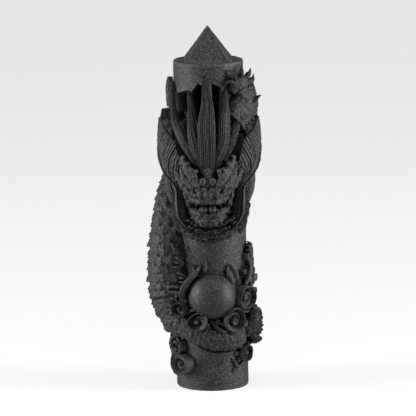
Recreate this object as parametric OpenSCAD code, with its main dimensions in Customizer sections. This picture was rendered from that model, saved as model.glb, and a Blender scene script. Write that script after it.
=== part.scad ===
// Ink stick: a round column with a four-sided point, carved with a dragon, its pearl and clouds.
// The column stands on its base face at z = 0, its axis is Z, and the dragon's face looks to -Y.
// Relief is drawn round the column: an angle from the front (positive to +X), a height, and a
// distance out from the column's skin. All lengths are millimetres.

/* [Column] */
// Height of the round column, from the base face to its flat top
column_h = 163; // [140:1:200]
// Diameter of the column at the base
base_d = 35.6; // [28:0.1:44]
// Diameter of the column at its flat top
top_d = 34.4; // [27:0.1:43]
// Height of the four-sided point
point_h = 17; // [10:0.5:24]
// Bevel round the base and the top edge
edge_bevel = 0.5; // [0.2:0.1:1]

/* [Dragon] */
// Depth of the whole relief, as a multiple of the carved depth
relief_depth = 1; // [0.8:0.05:1.15]
// Width across the dragon's body where it runs down the side
body_girth = 24; // [18:0.5:27]
// Width of the head across the cheeks
head_w = 20; // [16:0.5:24]
// Gap between the upper and the lower jaw
mouth_gap = 3; // [1.5:0.25:4]
// Widest part of the middle lock of the mane
lock_w = 8.4; // [6:0.2:10]
// Thickness of the ruff's sheet
ruff_t = 1.6; // [1.2:0.1:2.4]

/* [Pearl and clouds] */
// Diameter of the pearl
pearl_d = 25.4; // [20:0.2:28]
// Distance that the pearl's front stands out of the column's skin
pearl_rise = 8.574; // [5:0.001:12]
// Diameter of the largest cloud scroll
scroll_d = 10.5; // [8:0.25:12]

/* [Hidden] */

INK = [0.13, 0.13, 0.14];
INK_LIGHT = [0.22, 0.22, 0.23];

// The column that the relief's heights and widths are drawn for
DRAWN_H = 163;
DRAWN_D = 35.6;
// The relief keeps its drawn height up to CLOUD_TOP, and from CHIN_Z to BROW_TOP, so that the
// pearl's part and the head keep their shape; a taller column stretches only the runs between them
CLOUD_TOP = 62;
CHIN_Z = 78;
BROW_TOP = 125;
RUNS = CHIN_Z - CLOUD_TOP + DRAWN_H - BROW_TOP;
STRETCH = (RUNS + column_h - DRAWN_H) / RUNS;
// How much wider the body and the clouds are drawn on a thicker column, to go round it the same way
WIDE = base_d / DRAWN_D;
// Sides of a round section, and steps between two stations of a path
SIDES = 14;
FINE_SIDES = 10;
STEPS = 3;
// Height of the face's middle, and the angle that it looks to
FACE_Z = 100;
FACE_A = -2;

// ---- places on the column ----
function part_in(z, low, high) = min(max(z, low), high) - low;
function up(z) = part_in(z, 0, CLOUD_TOP) + STRETCH * part_in(z, CLOUD_TOP, CHIN_Z)
    + part_in(z, CHIN_Z, BROW_TOP) + STRETCH * part_in(z, BROW_TOP, DRAWN_H);
function skin(z) = (base_d + (top_d - base_d) * z / column_h) / 2;
function place(a, r, z) = [r * sin(a), -r * cos(a), z];
function arc(x) = FACE_A + x * 180 / (PI * skin(up(FACE_Z)));
// A point moved to the column's skin: ground moves any point, seat only one inside the column
function ground(p) = let (s = skin(p.z) / norm([p.x, p.y])) [p.x * s, p.y * s, p.z];
function seat(p) = norm([p.x, p.y]) < skin(p.z) ? ground(p) : p;

// ---- smooth lists ----
// A point between rows b and c of a list, on a curve that passes through every row
function between(a, b, c, d, t) =
    (2 * b + (c - a) * t + (2 * a - 5 * b + 4 * c - d) * t * t + (3 * b - a - 3 * c + d) * t * t * t) / 2;
function smooth(rows, steps = STEPS) = let (n = len(rows) - 1) [
    for (i = [0:n - 1], k = [0:steps - 1])
        between(rows[max(0, i - 1)], rows[i], rows[i + 1], rows[min(n, i + 2)], k / steps),
    rows[n]];

// ---- solids ----
// Faces that join equal rings into a closed solid; the ends are fans
function ring_faces(rings, sides) = [
    for (i = [0:rings - 2], j = [0:sides - 1]) let (k = (j + 1) % sides, a = i * sides, b = a + sides)
        each [[a + j, b + j, b + k], [a + j, b + k, a + k]],
    for (j = [1:sides - 2]) [0, j, j + 1],
    for (j = [1:sides - 2]) let (e = (rings - 1) * sides) [e, e + j + 1, e + j]];

// Centre of a station: angle, height, distance out from the skin to the section's middle
function centre(row) = let (z = up(row[1])) place(row[0], skin(z) + row[2] * relief_depth, z);

// One section across a path: half-width along the skin, half-height out from it. wide stretches it
// the way the skin runs round the column.
function section(path, i, sides, wide = 1) = let (
    n = len(path) - 1,
    c = centre(path[i]),
    run = centre(path[min(n, i + 1)]) - centre(path[max(0, i - 1)]),
    t = run / norm(run),
    out = place(path[i][0], 1, 0),
    o = (out - (out * t) * t) / norm(out - (out * t) * t),
    across = cross(t, o),
    side = [across.x * wide, across.y * wide, across.z])
    [for (j = [0:sides - 1]) let (g = 360 * j / sides)
        seat(c + path[i][3] * cos(g) * side + path[i][4] * relief_depth * sin(g) * o)];

// A limb swept along rows of [angle, height, out, half-width, half-height], seated on the column
module limb(rows, sides = SIDES, steps = STEPS) {
    path = smooth(rows, steps);
    polyhedron([for (i = [0:len(path) - 1]) each section(path, i, sides)],
        ring_faces(len(path), sides), convexity = 6);
}

// A cloud scroll: a domed disc whose top rises and falls along a spiral
module scroll(a, z, radius, out, turns = 1.6, hand = 1) {
    rings = 7;
    sides = 22;
    zc = up(z);
    mid = place(a, skin(zc), zc);
    o = place(a, 1, 0);
    s = place(a + 90, WIDE, 0);
    function crest(f, g) = out * relief_depth * (0.62 + 0.38 * cos(f * 90)
        + 0.16 * sin(g * hand + f * turns * 360));
    function top(f, g) = let (e = f < 1 ? 1 : 0.55)
        seat(mid + radius * f * (cos(g) * s + [0, 0, sin(g)]) + crest(f, g) * e * o);
    function foot(g) = ground(mid + radius * (cos(g) * s + [0, 0, sin(g)]));
    points = [
        for (i = [1:rings], j = [0:sides - 1]) top(i / rings, 360 * j / sides),
        for (j = [0:sides - 1]) foot(360 * j / sides),
        mid + crest(0, 0) * o, mid];
    centre_top = (rings + 1) * sides;
    polyhedron(points, [
        for (i = [0:rings - 1], j = [0:sides - 1]) let (k = (j + 1) % sides, b = (i + 1) * sides)
            each [[i * sides + j, b + j, b + k], [i * sides + j, b + k, i * sides + k]],
        for (j = [0:sides - 1]) [centre_top, j, (j + 1) % sides],
        for (j = [0:sides - 1]) let (b = rings * sides) [centre_top + 1, b + (j + 1) % sides, b + j]],
        convexity = 4);
}

// A bent sheet between a root line and a rim line, each of rows [angle, height, out]
module sheet(root, rim, thick, bow = 0) {
    a = smooth(root);
    b = smooth(rim);
    n = len(a);
    across = 5;
    function mid(i, k) = let (t = k / across, r = a[i] * (1 - t) + b[i] * t)
        centre([r[0], r[1], r[2] + bow * sin(180 * t)]);
    function normal(i, k) = let (
        u = mid(min(n - 1, i + 1), k) - mid(max(0, i - 1), k),
        v = mid(i, min(across, k + 1)) - mid(i, max(0, k - 1)),
        w = cross(u, v)) w / norm(w);
    function edge(k) = thick / 2 * (k == across ? 0.45 : 1);
    sides = 2 * (across + 1);
    polyhedron([for (i = [0:n - 1]) each [
        for (k = [0:across]) seat(mid(i, k) + normal(i, k) * edge(k)),
        for (k = [across:-1:0]) seat(mid(i, k) - normal(i, k) * edge(k))]],
        ring_faces(n, sides), convexity = 6);
}

// ---- column ----
module ink_shaft() {
    color(INK_LIGHT) rotate_extrude($fn = 96) polygon([
        [0, 0], [base_d / 2 - edge_bevel, 0], [base_d / 2, edge_bevel],
        [top_d / 2, column_h - edge_bevel], [top_d / 2 - edge_bevel, column_h], [0, column_h]]);
}

// The point's square foot has its corners just inside the bevelled edge of the column's top
module pyramid_tip() {
    h = (top_d / 2 - edge_bevel) / sqrt(2);
    color(INK_LIGHT) polyhedron(
        [[-h, -h, column_h], [h, -h, column_h], [h, h, column_h], [-h, h, column_h],
            [0, 0, column_h + point_h]],
        [[0, 1, 2, 3], [0, 4, 1], [1, 4, 2], [2, 4, 3], [3, 4, 0]]);
}

// ---- pearl ----
PEARL_A = 1;
PEARL_Z = 47.3;
module column_solid() {
    cylinder(h = column_h, r1 = base_d / 2, r2 = top_d / 2, $fn = 96);
}
module pearl() {
    color(INK_LIGHT) difference() {
        translate(place(PEARL_A, skin(up(PEARL_Z)) + pearl_rise - pearl_d / 2, up(PEARL_Z)))
            sphere(d = pearl_d, $fn = 64);
        column_solid();
    }
}
// The flame fills the gap round the pearl's left, from the pearl's side to the body's inner edge
FLAME_IN = pearl_d / 2 + 0.1;
FLAME_OUT = 15.8 * WIDE;
FLAME_MID = (FLAME_IN + FLAME_OUT) / 2;
module pearl_flame() {
    color(INK) limb([for (g = [62:-16:-18]) let (
        z = PEARL_Z + FLAME_MID * sin(g),
        a = asin(FLAME_MID * cos(g) / (skin(up(z)) + 2.4)),
        end = g == 62 || g == -18 ? 1 / 3 : 1,
        h = 1.5 * end)
        [-a, z, 1.2 + h, (FLAME_OUT - FLAME_IN) / 2 * norm([cos(g) / cos(a), sin(g)]) * end, h]],
        FINE_SIDES, 2);
}
module leaf_sprig() {
    color(INK) limb([[28, 61, 0.3, 0.4, 0.4], [31, 58.6, 0.8, 2.1, 1.6], [35, 54.5, 0.8, 2.3, 1.8],
        [40, 50.5, 0.4, 0.5, 0.6]], FINE_SIDES);
}

// ---- body ----
// The body winds from behind the head, round the back and the left side, and under the pearl.
// Angles grow past 360 so that the path never jumps.
GIRTH = body_girth / 24;
BODY = [
    [42, 134, 0.4, 6.5, 4], [62, 140, 0.9, 8, 4.8], [90, 141.5, 1, 9, 4.4],
    [125, 137, 1.6, 9.8, 6.4], [158, 127, 2, 10.4, 8], [190, 113, 2, 11, 8.2],
    [224, 98, 1.4, 11.2, 7.6 * GIRTH], [252, 84.5, 1.3, 11.6, 8.2 * GIRTH],
    [268, 70, 1.5, 12 * GIRTH, 9.6 * GIRTH], [274, 56, 1.5, 12 * GIRTH, 10.2 * GIRTH],
    [281, 43, 1.2, 10.6, 9.4], [296, 34.5, 0.8, 7.8, 6.2], [318, 31.6, 0.4, 5.8, 4.4],
    [343, 28.6, 0.4, 5.5, 4], [372, 26, 0.4, 5.6, 3.8], [398, 26.2, 0.3, 5.4, 3.6],
    [412, 27.5, 0.2, 4.4, 3]];
BODY_PATH = smooth(BODY);
BODY_SIDES = 18;
// The stretch of the body between two rows; neighbours meet in the same ring
module body_run(first, last) {
    stations = [first * STEPS:last * STEPS];
    polyhedron([for (i = stations) each section(BODY_PATH, i, BODY_SIDES, WIDE)],
        ring_faces((last - first) * STEPS + 1, BODY_SIDES), convexity = 6);
}
module neck_coil() { color(INK) body_run(0, 3); }
module back_coil() { color(INK) body_run(3, 6); }
module flank_coil() { color(INK) body_run(6, 10); }
module lower_coil() { color(INK) body_run(10, 16); }

// The tail ends in a fan that opens from the body's last ring, at the right
TAIL = BODY[len(BODY) - 1];
FAN_A = TAIL[0] - 360;
FAN_Z = TAIL[1] + 2.5;
module tail_fan() {
    color(INK_LIGHT) sheet(
        [for (g = [-70:20:70]) [FAN_A + 2 * cos(g), FAN_Z + 4 * sin(g), 1.2]],
        [for (g = [-70:20:70]) [FAN_A + 8 + 20 * cos(g), FAN_Z + 8.4 * sin(g), 5.6 + 1.4 * cos(g * 3)]],
        2.6, 1.2);
}

// A row of fins where the body's inner edge meets the column
// Each row is a fin's angle and height: the flank's, then those over the back
FINS = [[-52, 82], [-47, 73.5], [-43, 64], [-41, 56.5], [-48.5, 48],
    for (k = [0:5]) [110 + 20 * k, 152 - 8.6 * k]];
module fin(a, z) {
    limb([[a - 9, z + 1, 4.2, 1.5, 1.3], [a - 2, z + 0.4, 3.4, 1.1, 1.1],
        [a + 5, z - 2.4, 1.4, 0.3, 0.5]], 8, 2);
}
module dorsal_fins() {
    color(INK) for (f = FINS) fin(f[0], f[1]);
}

// ---- head ----
HALF = head_w / 2;
MOUTH_Z = 94.5;
JAW_TOP = MOUTH_Z - mouth_gap / 2;
LIP_Z = MOUTH_Z + mouth_gap / 2;
module skull() {
    color(INK) limb([[arc(0), 122, 1.5, HALF * 0.5, 2.5], [arc(0), 117, 2.6, HALF * 0.76, 4],
        [arc(0), 110, 3.6, HALF * 0.95, 5], [arc(0), 104, 4, HALF, 5.6]]);
}
module muzzle() {
    color(INK) limb([[arc(0), 104, 5.2, HALF * 0.62, 5.2], [arc(0), 100, 6.2, HALF * 0.74, 5],
        [arc(0), LIP_Z + 0.6, 5.6, HALF * 0.82, 4.4], [arc(0), LIP_Z, 5.2, HALF * 0.78, 3.6]]);
}
module lower_jaw() {
    color(INK) limb([[arc(0), JAW_TOP, 3.4, HALF * 0.74, 5.4], [arc(0), JAW_TOP - 1, 3.6, HALF * 0.78, 5.8],
        [arc(0), 87, 3.2, HALF * 0.68, 5.2], [arc(0), 82.5, 1.4, HALF * 0.42, 3.4]]);
}
module tongue() {
    color(INK) limb([[arc(0), LIP_Z - 0.3, 3.6, 2.4, 2.4], [arc(0), MOUTH_Z, 5.8, 2.3, 1.6],
        [arc(0), JAW_TOP + 0.2, 6.2, 1.6, 1.3]], FINE_SIDES);
}
// Teeth: upright cones along each jaw's lip
module tooth(x, z, out, r, h) {
    translate(place(arc(x), skin(up(z)) + out, up(z)))
        cylinder(h = abs(h), r1 = h > 0 ? r : 0.15, r2 = h > 0 ? 0.15 : r, $fn = 24);
}
module upper_teeth() {
    color(INK_LIGHT) for (s = [-1, 1]) {
        tooth(s * 5, LIP_Z - 2.6, 6.2, 0.9, -2.6);
        tooth(s * 3.1, LIP_Z - 1.3, 7.4, 0.6, -1.3);
    }
}
module lower_teeth() {
    color(INK_LIGHT) for (s = [-1, 1]) {
        tooth(s * 4.3, JAW_TOP, 6.6, 0.8, 2.1);
        tooth(s * 2.9, JAW_TOP, 7.6, 0.6, 1.2);
    }
}
// Each of the next pieces is drawn for the right side; s = -1 turns it to the left
module brow(s) {
    limb([[arc(s * 3), 107.5, 9, 0.8, 0.8], [arc(s * 5.6), 109, 8.2, 2, 1.9],
        [arc(s * 8.8), 111.5, 6, 2.2, 2.2], [arc(s * 12), 115, 3.6, 0.7, 1]], FINE_SIDES);
}
module eye(s) {
    translate(place(arc(s * 2.6), skin(up(106)) + 8.8 * relief_depth, up(106)))
        sphere(r = 2, $fn = 32);
}
module cheek(s) {
    limb([[arc(s * 9.4), 104.5, 3.4, 1.2, 1.2], [arc(s * 9.2), 100, 3.8, 2.3, 2.6],
        [arc(s * 8.6), 95, 3.4, 1.9, 2.2], [arc(s * 8.2), 91, 2.4, 0.7, 0.9]], FINE_SIDES);
}
module brow_left() { color(INK) brow(-1); }
module brow_right() { color(INK) brow(1); }
module eye_left() { color(INK_LIGHT) eye(-1); }
module eye_right() { color(INK_LIGHT) eye(1); }
module cheek_left() { color(INK) cheek(-1); }
module cheek_right() { color(INK) cheek(1); }

// Ears: cupped leaves that point up and out
module ear(s) {
    sheet([[s * 50, 122, 2.5], [s * 49, 128, 2], [s * 50, 133, 1.5], [s * 54, 136.5, 0.6]],
        [[s * 56, 121, 4.4], [s * 66, 127, 6], [s * 76, 133, 6.6], [s * 84, 138, 6.8]], 1.8, -1.4);
}
module ear_left() { color(INK) ear(-1); }
module ear_right() { color(INK) ear(1); }

// Ruff: a sheet of hair that stands out either side of the face and closes under the chin
module ruff(s) {
    sheet([[s * 42, 122, 3.2], [s * 38, 116, 3.6], [s * 34, 109, 3], [s * 32, 102, 1.4],
            [s * 31, 95, 0.4], [s * 28, 88, 0.4], [s * 22, 82, 0.4]],
        [[s * 83, 124, 7.2], [s * 75, 115.5, 8.2], [s * 62, 108, 7.6], [s * 46, 101.5, 7.6],
            [s * 41, 93, 8.6], [s * 35, 86, 7.2], [s * 24, 78.5, 3]], ruff_t, 1.6);
}
module ruff_left() { color(INK) ruff(-1); }
module ruff_right() { color(INK) ruff(1); }
module ruff_lobe(s) {
    limb([[s * 72, 112, 1.5, 1.6, 1.6], [s * 76, 105, 2.4, 3.6, 3], [s * 74, 98.5, 2.2, 3.4, 3],
        [s * 64, 93, 1, 1.2, 1.2]], FINE_SIDES);
}
module ruff_lobe_left() { color(INK) ruff_lobe(-1); }
module ruff_lobe_right() { color(INK) ruff_lobe(1); }

// Mane: flame-shaped locks that spring from the brow and bend back to the column at their tips
LOCK = lock_w / 8.4;
module mane_centre() {
    color(INK) limb([[arc(0), 112.5, 6.6, 2.6 * LOCK, 1.5], [arc(0), 121, 6.6, 3.7 * LOCK, 2],
        [arc(-0.1), 132, 6.2, 4.2 * LOCK, 2.1], [arc(-0.4), 143, 5, 2.3 * LOCK, 1.8],
        [arc(-0.6), 151, 3.2, 1.4, 1.4], [arc(-0.7), 157, 0.3, 0.5, 0.7]], FINE_SIDES);
}
module mane_left() {
    color(INK) limb([[-9, 114.5, 5.8, 1, 1.2], [-14, 122, 6, 1.9, 1.6], [-19, 131, 5.6, 2.4, 1.8],
        [-23, 141, 4.4, 1.6, 1.6], [-26, 150, 0.8, 0.5, 0.8]], FINE_SIDES);
}
module mane_right() {
    color(INK) limb([[5, 114.5, 5.8, 1.2, 1.2], [11, 122, 6, 2.3, 1.7], [16, 131, 5.6, 3, 1.9],
        [20, 141, 4.2, 2, 1.7], [22, 149.5, 0.8, 0.6, 0.8]], FINE_SIDES);
}
module mane_outer_left() {
    color(INK) limb([[-19, 117, 4.4, 1, 1.2], [-29, 124, 4, 1.6, 1.5], [-38, 134, 3.4, 1.5, 1.4],
        [-45, 143, 2.2, 1, 1.2], [-49, 148, 0.5, 0.4, 0.6]], FINE_SIDES);
}
module mane_outer_right() {
    color(INK) limb([[16, 117, 4.4, 1, 1.2], [27, 124, 4, 1.7, 1.5], [37, 134, 3.2, 1.6, 1.4],
        [44, 141, 2, 0.9, 1.1], [47, 145, 0.5, 0.4, 0.6]], FINE_SIDES);
}
module mane_spike_left() {
    color(INK) limb([[-38, 122, 3, 1.2, 1.4], [-47, 133, 3.2, 2, 1.7], [-57, 145, 2.6, 1.8, 1.6],
        [-66, 154, 3.4, 0.5, 0.8]], FINE_SIDES);
}

// Beard: rows of short curls that spread from the chin round the front of the column
BEARD_COUNT = 9;
module beard_curls() {
    color(INK) for (k = [0:BEARD_COUNT - 1]) let (t = k - (BEARD_COUNT - 1) / 2, a = FACE_A + 11.6 * t)
        limb([[a - 1.2 * t, 83.6 + 0.32 * t * t, 1.2, 1, 1], [a, 80.2 + 0.32 * t * t, 1.5, 1.6, 1.5],
            [a + 1.4 * t, 76.6 + 0.3 * t * t, 0.2, 0.4, 0.5]], 8, 2);
}

// ---- legs ----
module claw(a, z, out, da, dz) {
    limb([[a, z, out, 1.3, 1.3], [a + da * 0.5, z + dz * 0.6, out + 1.4, 1.2, 1.2],
        [a + da, z + dz, out + 0.4, 0.25, 0.3]], 8, 2);
}
module forearm() {
    color(INK) limb([[30, 137, 0.8, 1.4, 1.2], [33, 143, 1.8, 2.6, 2], [39, 149, 2, 2.4, 2],
        [47, 153.4, 1.8, 2.2, 1.8]], FINE_SIDES);
}
module forefoot() {
    color(INK) {
        limb([[48, 153.4, 1.8, 2.2, 1.8], [56, 154.6, 2.4, 3.4, 2.2], [64, 155, 2, 2, 1.8]], FINE_SIDES);
        claw(50, 158, 1.2, -8, 2.2);
        claw(60, 158.8, 1.6, 2, 2.2);
        claw(69, 157.6, 2, 8, 1.8);
        claw(70, 153.6, 2.4, 14, 0.6);
    }
}
module hind_leg() {
    color(INK) limb([[78, 44, 1, 2.4, 2], [88, 52, 2, 4, 3], [92, 61, 1.8, 3.6, 2.8],
        [84, 68, 1.4, 2.4, 2.2]], FINE_SIDES);
}
module hind_foot() {
    color(INK) {
        limb([[83.5, 68.4, 1.4, 2.4, 2.2], [77, 71, 1.6, 2.6, 2.2], [71, 72, 1, 1.4, 1.4]], FINE_SIDES);
        claw(68, 76, 0.8, -8, 1.4);
        claw(64, 71, 0.8, -9, 0);
        claw(68, 66.4, 0.8, -8, -2);
    }
}

// The other front leg reaches down the back from under the body
module back_forearm() {
    color(INK) limb([[150, 116, 1, 2.6, 2.2], [138, 110, 1.8, 3.6, 3], [128, 102, 1.8, 3, 2.8],
        [131, 94, 1.4, 2.2, 2.2]], FINE_SIDES);
}
module back_forefoot() {
    color(INK) {
        limb([[131, 93.6, 1.4, 2.2, 2.2], [128, 88, 1.8, 3, 2.2], [126, 84, 1.2, 1.6, 1.6]], FINE_SIDES);
        claw(138, 85, 1, 3, -5);
        claw(126, 82, 1, -1, -6);
        claw(114, 85.6, 1, -6, -4);
    }
}

// ---- clouds ----
// The upper left scroll's outer edges keep their place beside the body, and the two left scrolls
// touch, so both are placed by their size; the front right one stands on the body
LEFT_A = 1.302 * scroll_d - 51.67;
LEFT_Z = 46.2 - scroll_d * 0.4;
module cloud_left() { color(INK_LIGHT) scroll(LEFT_A, LEFT_Z, scroll_d * 0.4, 5.6, 1.5, -1); }
module cloud_front_left() {
    color(INK_LIGHT)
        scroll(LEFT_A + 1.81 * scroll_d, LEFT_Z - 0.476 * scroll_d, scroll_d * 0.38, 4.4, 1.6, 1);
}
module cloud_front_right() {
    color(INK_LIGHT) scroll(28, 31.77 + scroll_d * 0.46, scroll_d * 0.46, 4.6, 1.8, -1);
}
module cloud_right() { color(INK_LIGHT) scroll(50, 47, scroll_d * 0.4, 5, 1.6, 1); }
module cloud_base_left() { color(INK_LIGHT) scroll(-50, 13.2, scroll_d * 0.5, 4.6, 1.9, -1); }
module cloud_base_right() { color(INK_LIGHT) scroll(54, 17.6, scroll_d * 0.4, 3.2, 1.6, 1); }
module cloud_back_upper() { color(INK_LIGHT) scroll(176, 76, scroll_d * 0.5, 4.6, 1.8, 1); }
module cloud_back_lower() { color(INK_LIGHT) scroll(188, 34, scroll_d * 0.5, 4.8, 1.8, -1); }

ink_shaft();
pyramid_tip();
pearl();
pearl_flame();
leaf_sprig();
neck_coil();
back_coil();
flank_coil();
lower_coil();
tail_fan();
dorsal_fins();
skull();
muzzle();
lower_jaw();
tongue();
upper_teeth();
lower_teeth();
brow_left();
brow_right();
eye_left();
eye_right();
cheek_left();
cheek_right();
ear_left();
ear_right();
ruff_left();
ruff_right();
ruff_lobe_left();
ruff_lobe_right();
mane_centre();
mane_left();
mane_right();
mane_outer_left();
mane_outer_right();
mane_spike_left();
beard_curls();
forearm();
forefoot();
back_forearm();
back_forefoot();
hind_leg();
hind_foot();
cloud_left();
cloud_front_left();
cloud_front_right();
cloud_right();
cloud_base_left();
cloud_base_right();
cloud_back_upper();
cloud_back_lower();
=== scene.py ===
"""Looks of the ink stick: a charcoal-black column carved with a dragon, its pearl and clouds.

Every sculpted piece is worked out in millimetres in the part's own frame (origin at the centre of
the base, +Z up, the face towards -Y) and written to its mesh in metres. Places round the column are
an angle from the front (positive to +X), a height, and a distance out from the column's skin.
"""
import math

import bpy
import numpy as np
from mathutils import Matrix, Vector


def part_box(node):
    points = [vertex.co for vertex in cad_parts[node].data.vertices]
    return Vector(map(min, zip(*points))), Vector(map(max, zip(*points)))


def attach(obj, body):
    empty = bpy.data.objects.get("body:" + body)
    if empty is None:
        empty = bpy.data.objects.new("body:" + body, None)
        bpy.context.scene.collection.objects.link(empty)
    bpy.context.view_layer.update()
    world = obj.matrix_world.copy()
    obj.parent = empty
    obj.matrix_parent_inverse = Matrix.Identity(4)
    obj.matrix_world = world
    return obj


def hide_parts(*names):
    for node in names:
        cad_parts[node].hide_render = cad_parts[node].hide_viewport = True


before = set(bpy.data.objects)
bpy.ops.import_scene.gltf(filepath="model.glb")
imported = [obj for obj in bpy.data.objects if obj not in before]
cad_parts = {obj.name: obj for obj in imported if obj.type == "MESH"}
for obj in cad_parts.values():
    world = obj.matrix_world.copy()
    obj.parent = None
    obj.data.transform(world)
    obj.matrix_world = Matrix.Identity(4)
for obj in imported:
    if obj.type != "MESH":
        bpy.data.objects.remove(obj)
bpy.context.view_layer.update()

import openvdb as vdb
from mathutils import Euler, Vector

MM = 0.001
shaft_low, shaft_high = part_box("ink_shaft")
tip_low, tip_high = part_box("pyramid_tip")
COLUMN_H = shaft_high.z / MM
BASE_R = (shaft_high.x - shaft_low.x) / 2 / MM
POINT_H = (tip_high.z - tip_low.z) / MM

# The column's radius at its top, the way the face looks in degrees, the height at which lengths
# along the skin are measured, the skin's radius there, and the height of the pearl's middle
TOP_R = 17.2
FACE_A = -2.0
FACE_Z = 100
FACE_R = BASE_R + (TOP_R - BASE_R) * FACE_Z / COLUMN_H
PEARL_Z = 47.3


# ---------------------------------------------------------------- camera, light and floor

def aim(obj, place, target, roll=0.0):
    """Puts a camera or a lamp at place, looking at target, turned about its own view by roll."""
    obj.location = Vector(place)
    turn = (Vector(target) - Vector(place)).to_track_quat("-Z", "Y").to_euler()
    obj.rotation_euler = (turn.to_matrix() @ Euler((0, 0, roll)).to_matrix()).to_euler()
    bpy.context.scene.collection.objects.link(obj)


def camera():
    """A long lens a little above the middle of the object, as in the photograph."""
    target = Vector((-0.0011, 0.0, 0.0888))
    distance = 1.978
    elevation = math.radians(10.5)
    width = 0.2057
    data = bpy.data.cameras.new("camera")
    data.sensor_width = 36
    data.lens = data.sensor_width * distance / width
    data.clip_end = 20
    obj = bpy.data.objects.new("camera", data)
    place = target + Vector((0, -distance * math.cos(elevation), distance * math.sin(elevation)))
    aim(obj, place, target, math.radians(-0.9))
    bpy.context.scene.camera = obj


def area_light(name, azimuth, elevation, distance, size, power):
    """A softbox: azimuth from the front, positive to the right."""
    data = bpy.data.lights.new(name, "AREA")
    data.shape = "RECTANGLE"
    data.size, data.size_y = size
    data.energy = power
    obj = bpy.data.objects.new(name, data)
    a, e = math.radians(azimuth), math.radians(elevation)
    middle = Vector((0, 0, 0.09))
    place = middle + distance * Vector((math.sin(a) * math.cos(e), -math.cos(a) * math.cos(e), math.sin(e)))
    aim(obj, place, middle)


def studio():
    """Two upright softboxes at the sides, a weaker one overhead, a white room, a pale floor.

    The room and the floor look white, and light the ink far less than the softboxes do."""
    area_light("softbox_left", -80, 12, 0.75, (0.24, 0.60), 4.4)
    area_light("softbox_right", 77, 14, 0.75, (0.24, 0.60), 4.3)
    area_light("overhead", 10, 70, 1.0, (0.6, 0.6), 1.4)
    world = bpy.data.worlds.new("room")
    bpy.context.scene.world = world
    world.use_nodes = True
    nodes, links = world.node_tree.nodes, world.node_tree.links
    nodes.clear()
    out = nodes.new("ShaderNodeOutputWorld")
    seen = nodes.new("ShaderNodeBackground")
    seen.inputs["Color"].default_value = (1, 1, 1, 1)
    seen.inputs["Strength"].default_value = 1.05
    room = nodes.new("ShaderNodeBackground")
    room.inputs["Color"].default_value = (0.98, 0.98, 1.0, 1)
    room.inputs["Strength"].default_value = 0.05
    path = nodes.new("ShaderNodeLightPath")
    mix = nodes.new("ShaderNodeMixShader")
    links.new(path.outputs["Is Camera Ray"], mix.inputs[0])
    links.new(room.outputs[0], mix.inputs[1])
    links.new(seen.outputs[0], mix.inputs[2])
    links.new(mix.outputs[0], out.inputs[0])

    bpy.ops.mesh.primitive_plane_add(size=8, location=(0, 0, 0))
    floor = bpy.context.active_object
    floor.name = "floor"
    material = bpy.data.materials.new("pale_floor")
    material.use_nodes = True
    shader = material.node_tree.nodes["Principled BSDF"]
    shader.inputs["Base Color"].default_value = (0.60, 0.597, 0.603, 1)
    shader.inputs["Roughness"].default_value = 0.28
    shader.inputs["Specular IOR Level"].default_value = 0.35
    nodes, links = material.node_tree.nodes, material.node_tree.links
    glow = nodes.new("ShaderNodeEmission")
    glow.inputs["Color"].default_value = (0.74, 0.736, 0.744, 1)
    path = nodes.new("ShaderNodeLightPath")
    links.new(path.outputs["Is Camera Ray"], glow.inputs["Strength"])
    both = nodes.new("ShaderNodeAddShader")
    links.new(shader.outputs[0], both.inputs[0])
    links.new(glow.outputs[0], both.inputs[1])
    links.new(both.outputs[0], nodes["Material Output"].inputs["Surface"])
    floor.data.materials.append(material)
    view = bpy.context.scene.view_settings
    view.view_transform = "Standard"
    view.look = "None"


# ---------------------------------------------------------------- ink

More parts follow.
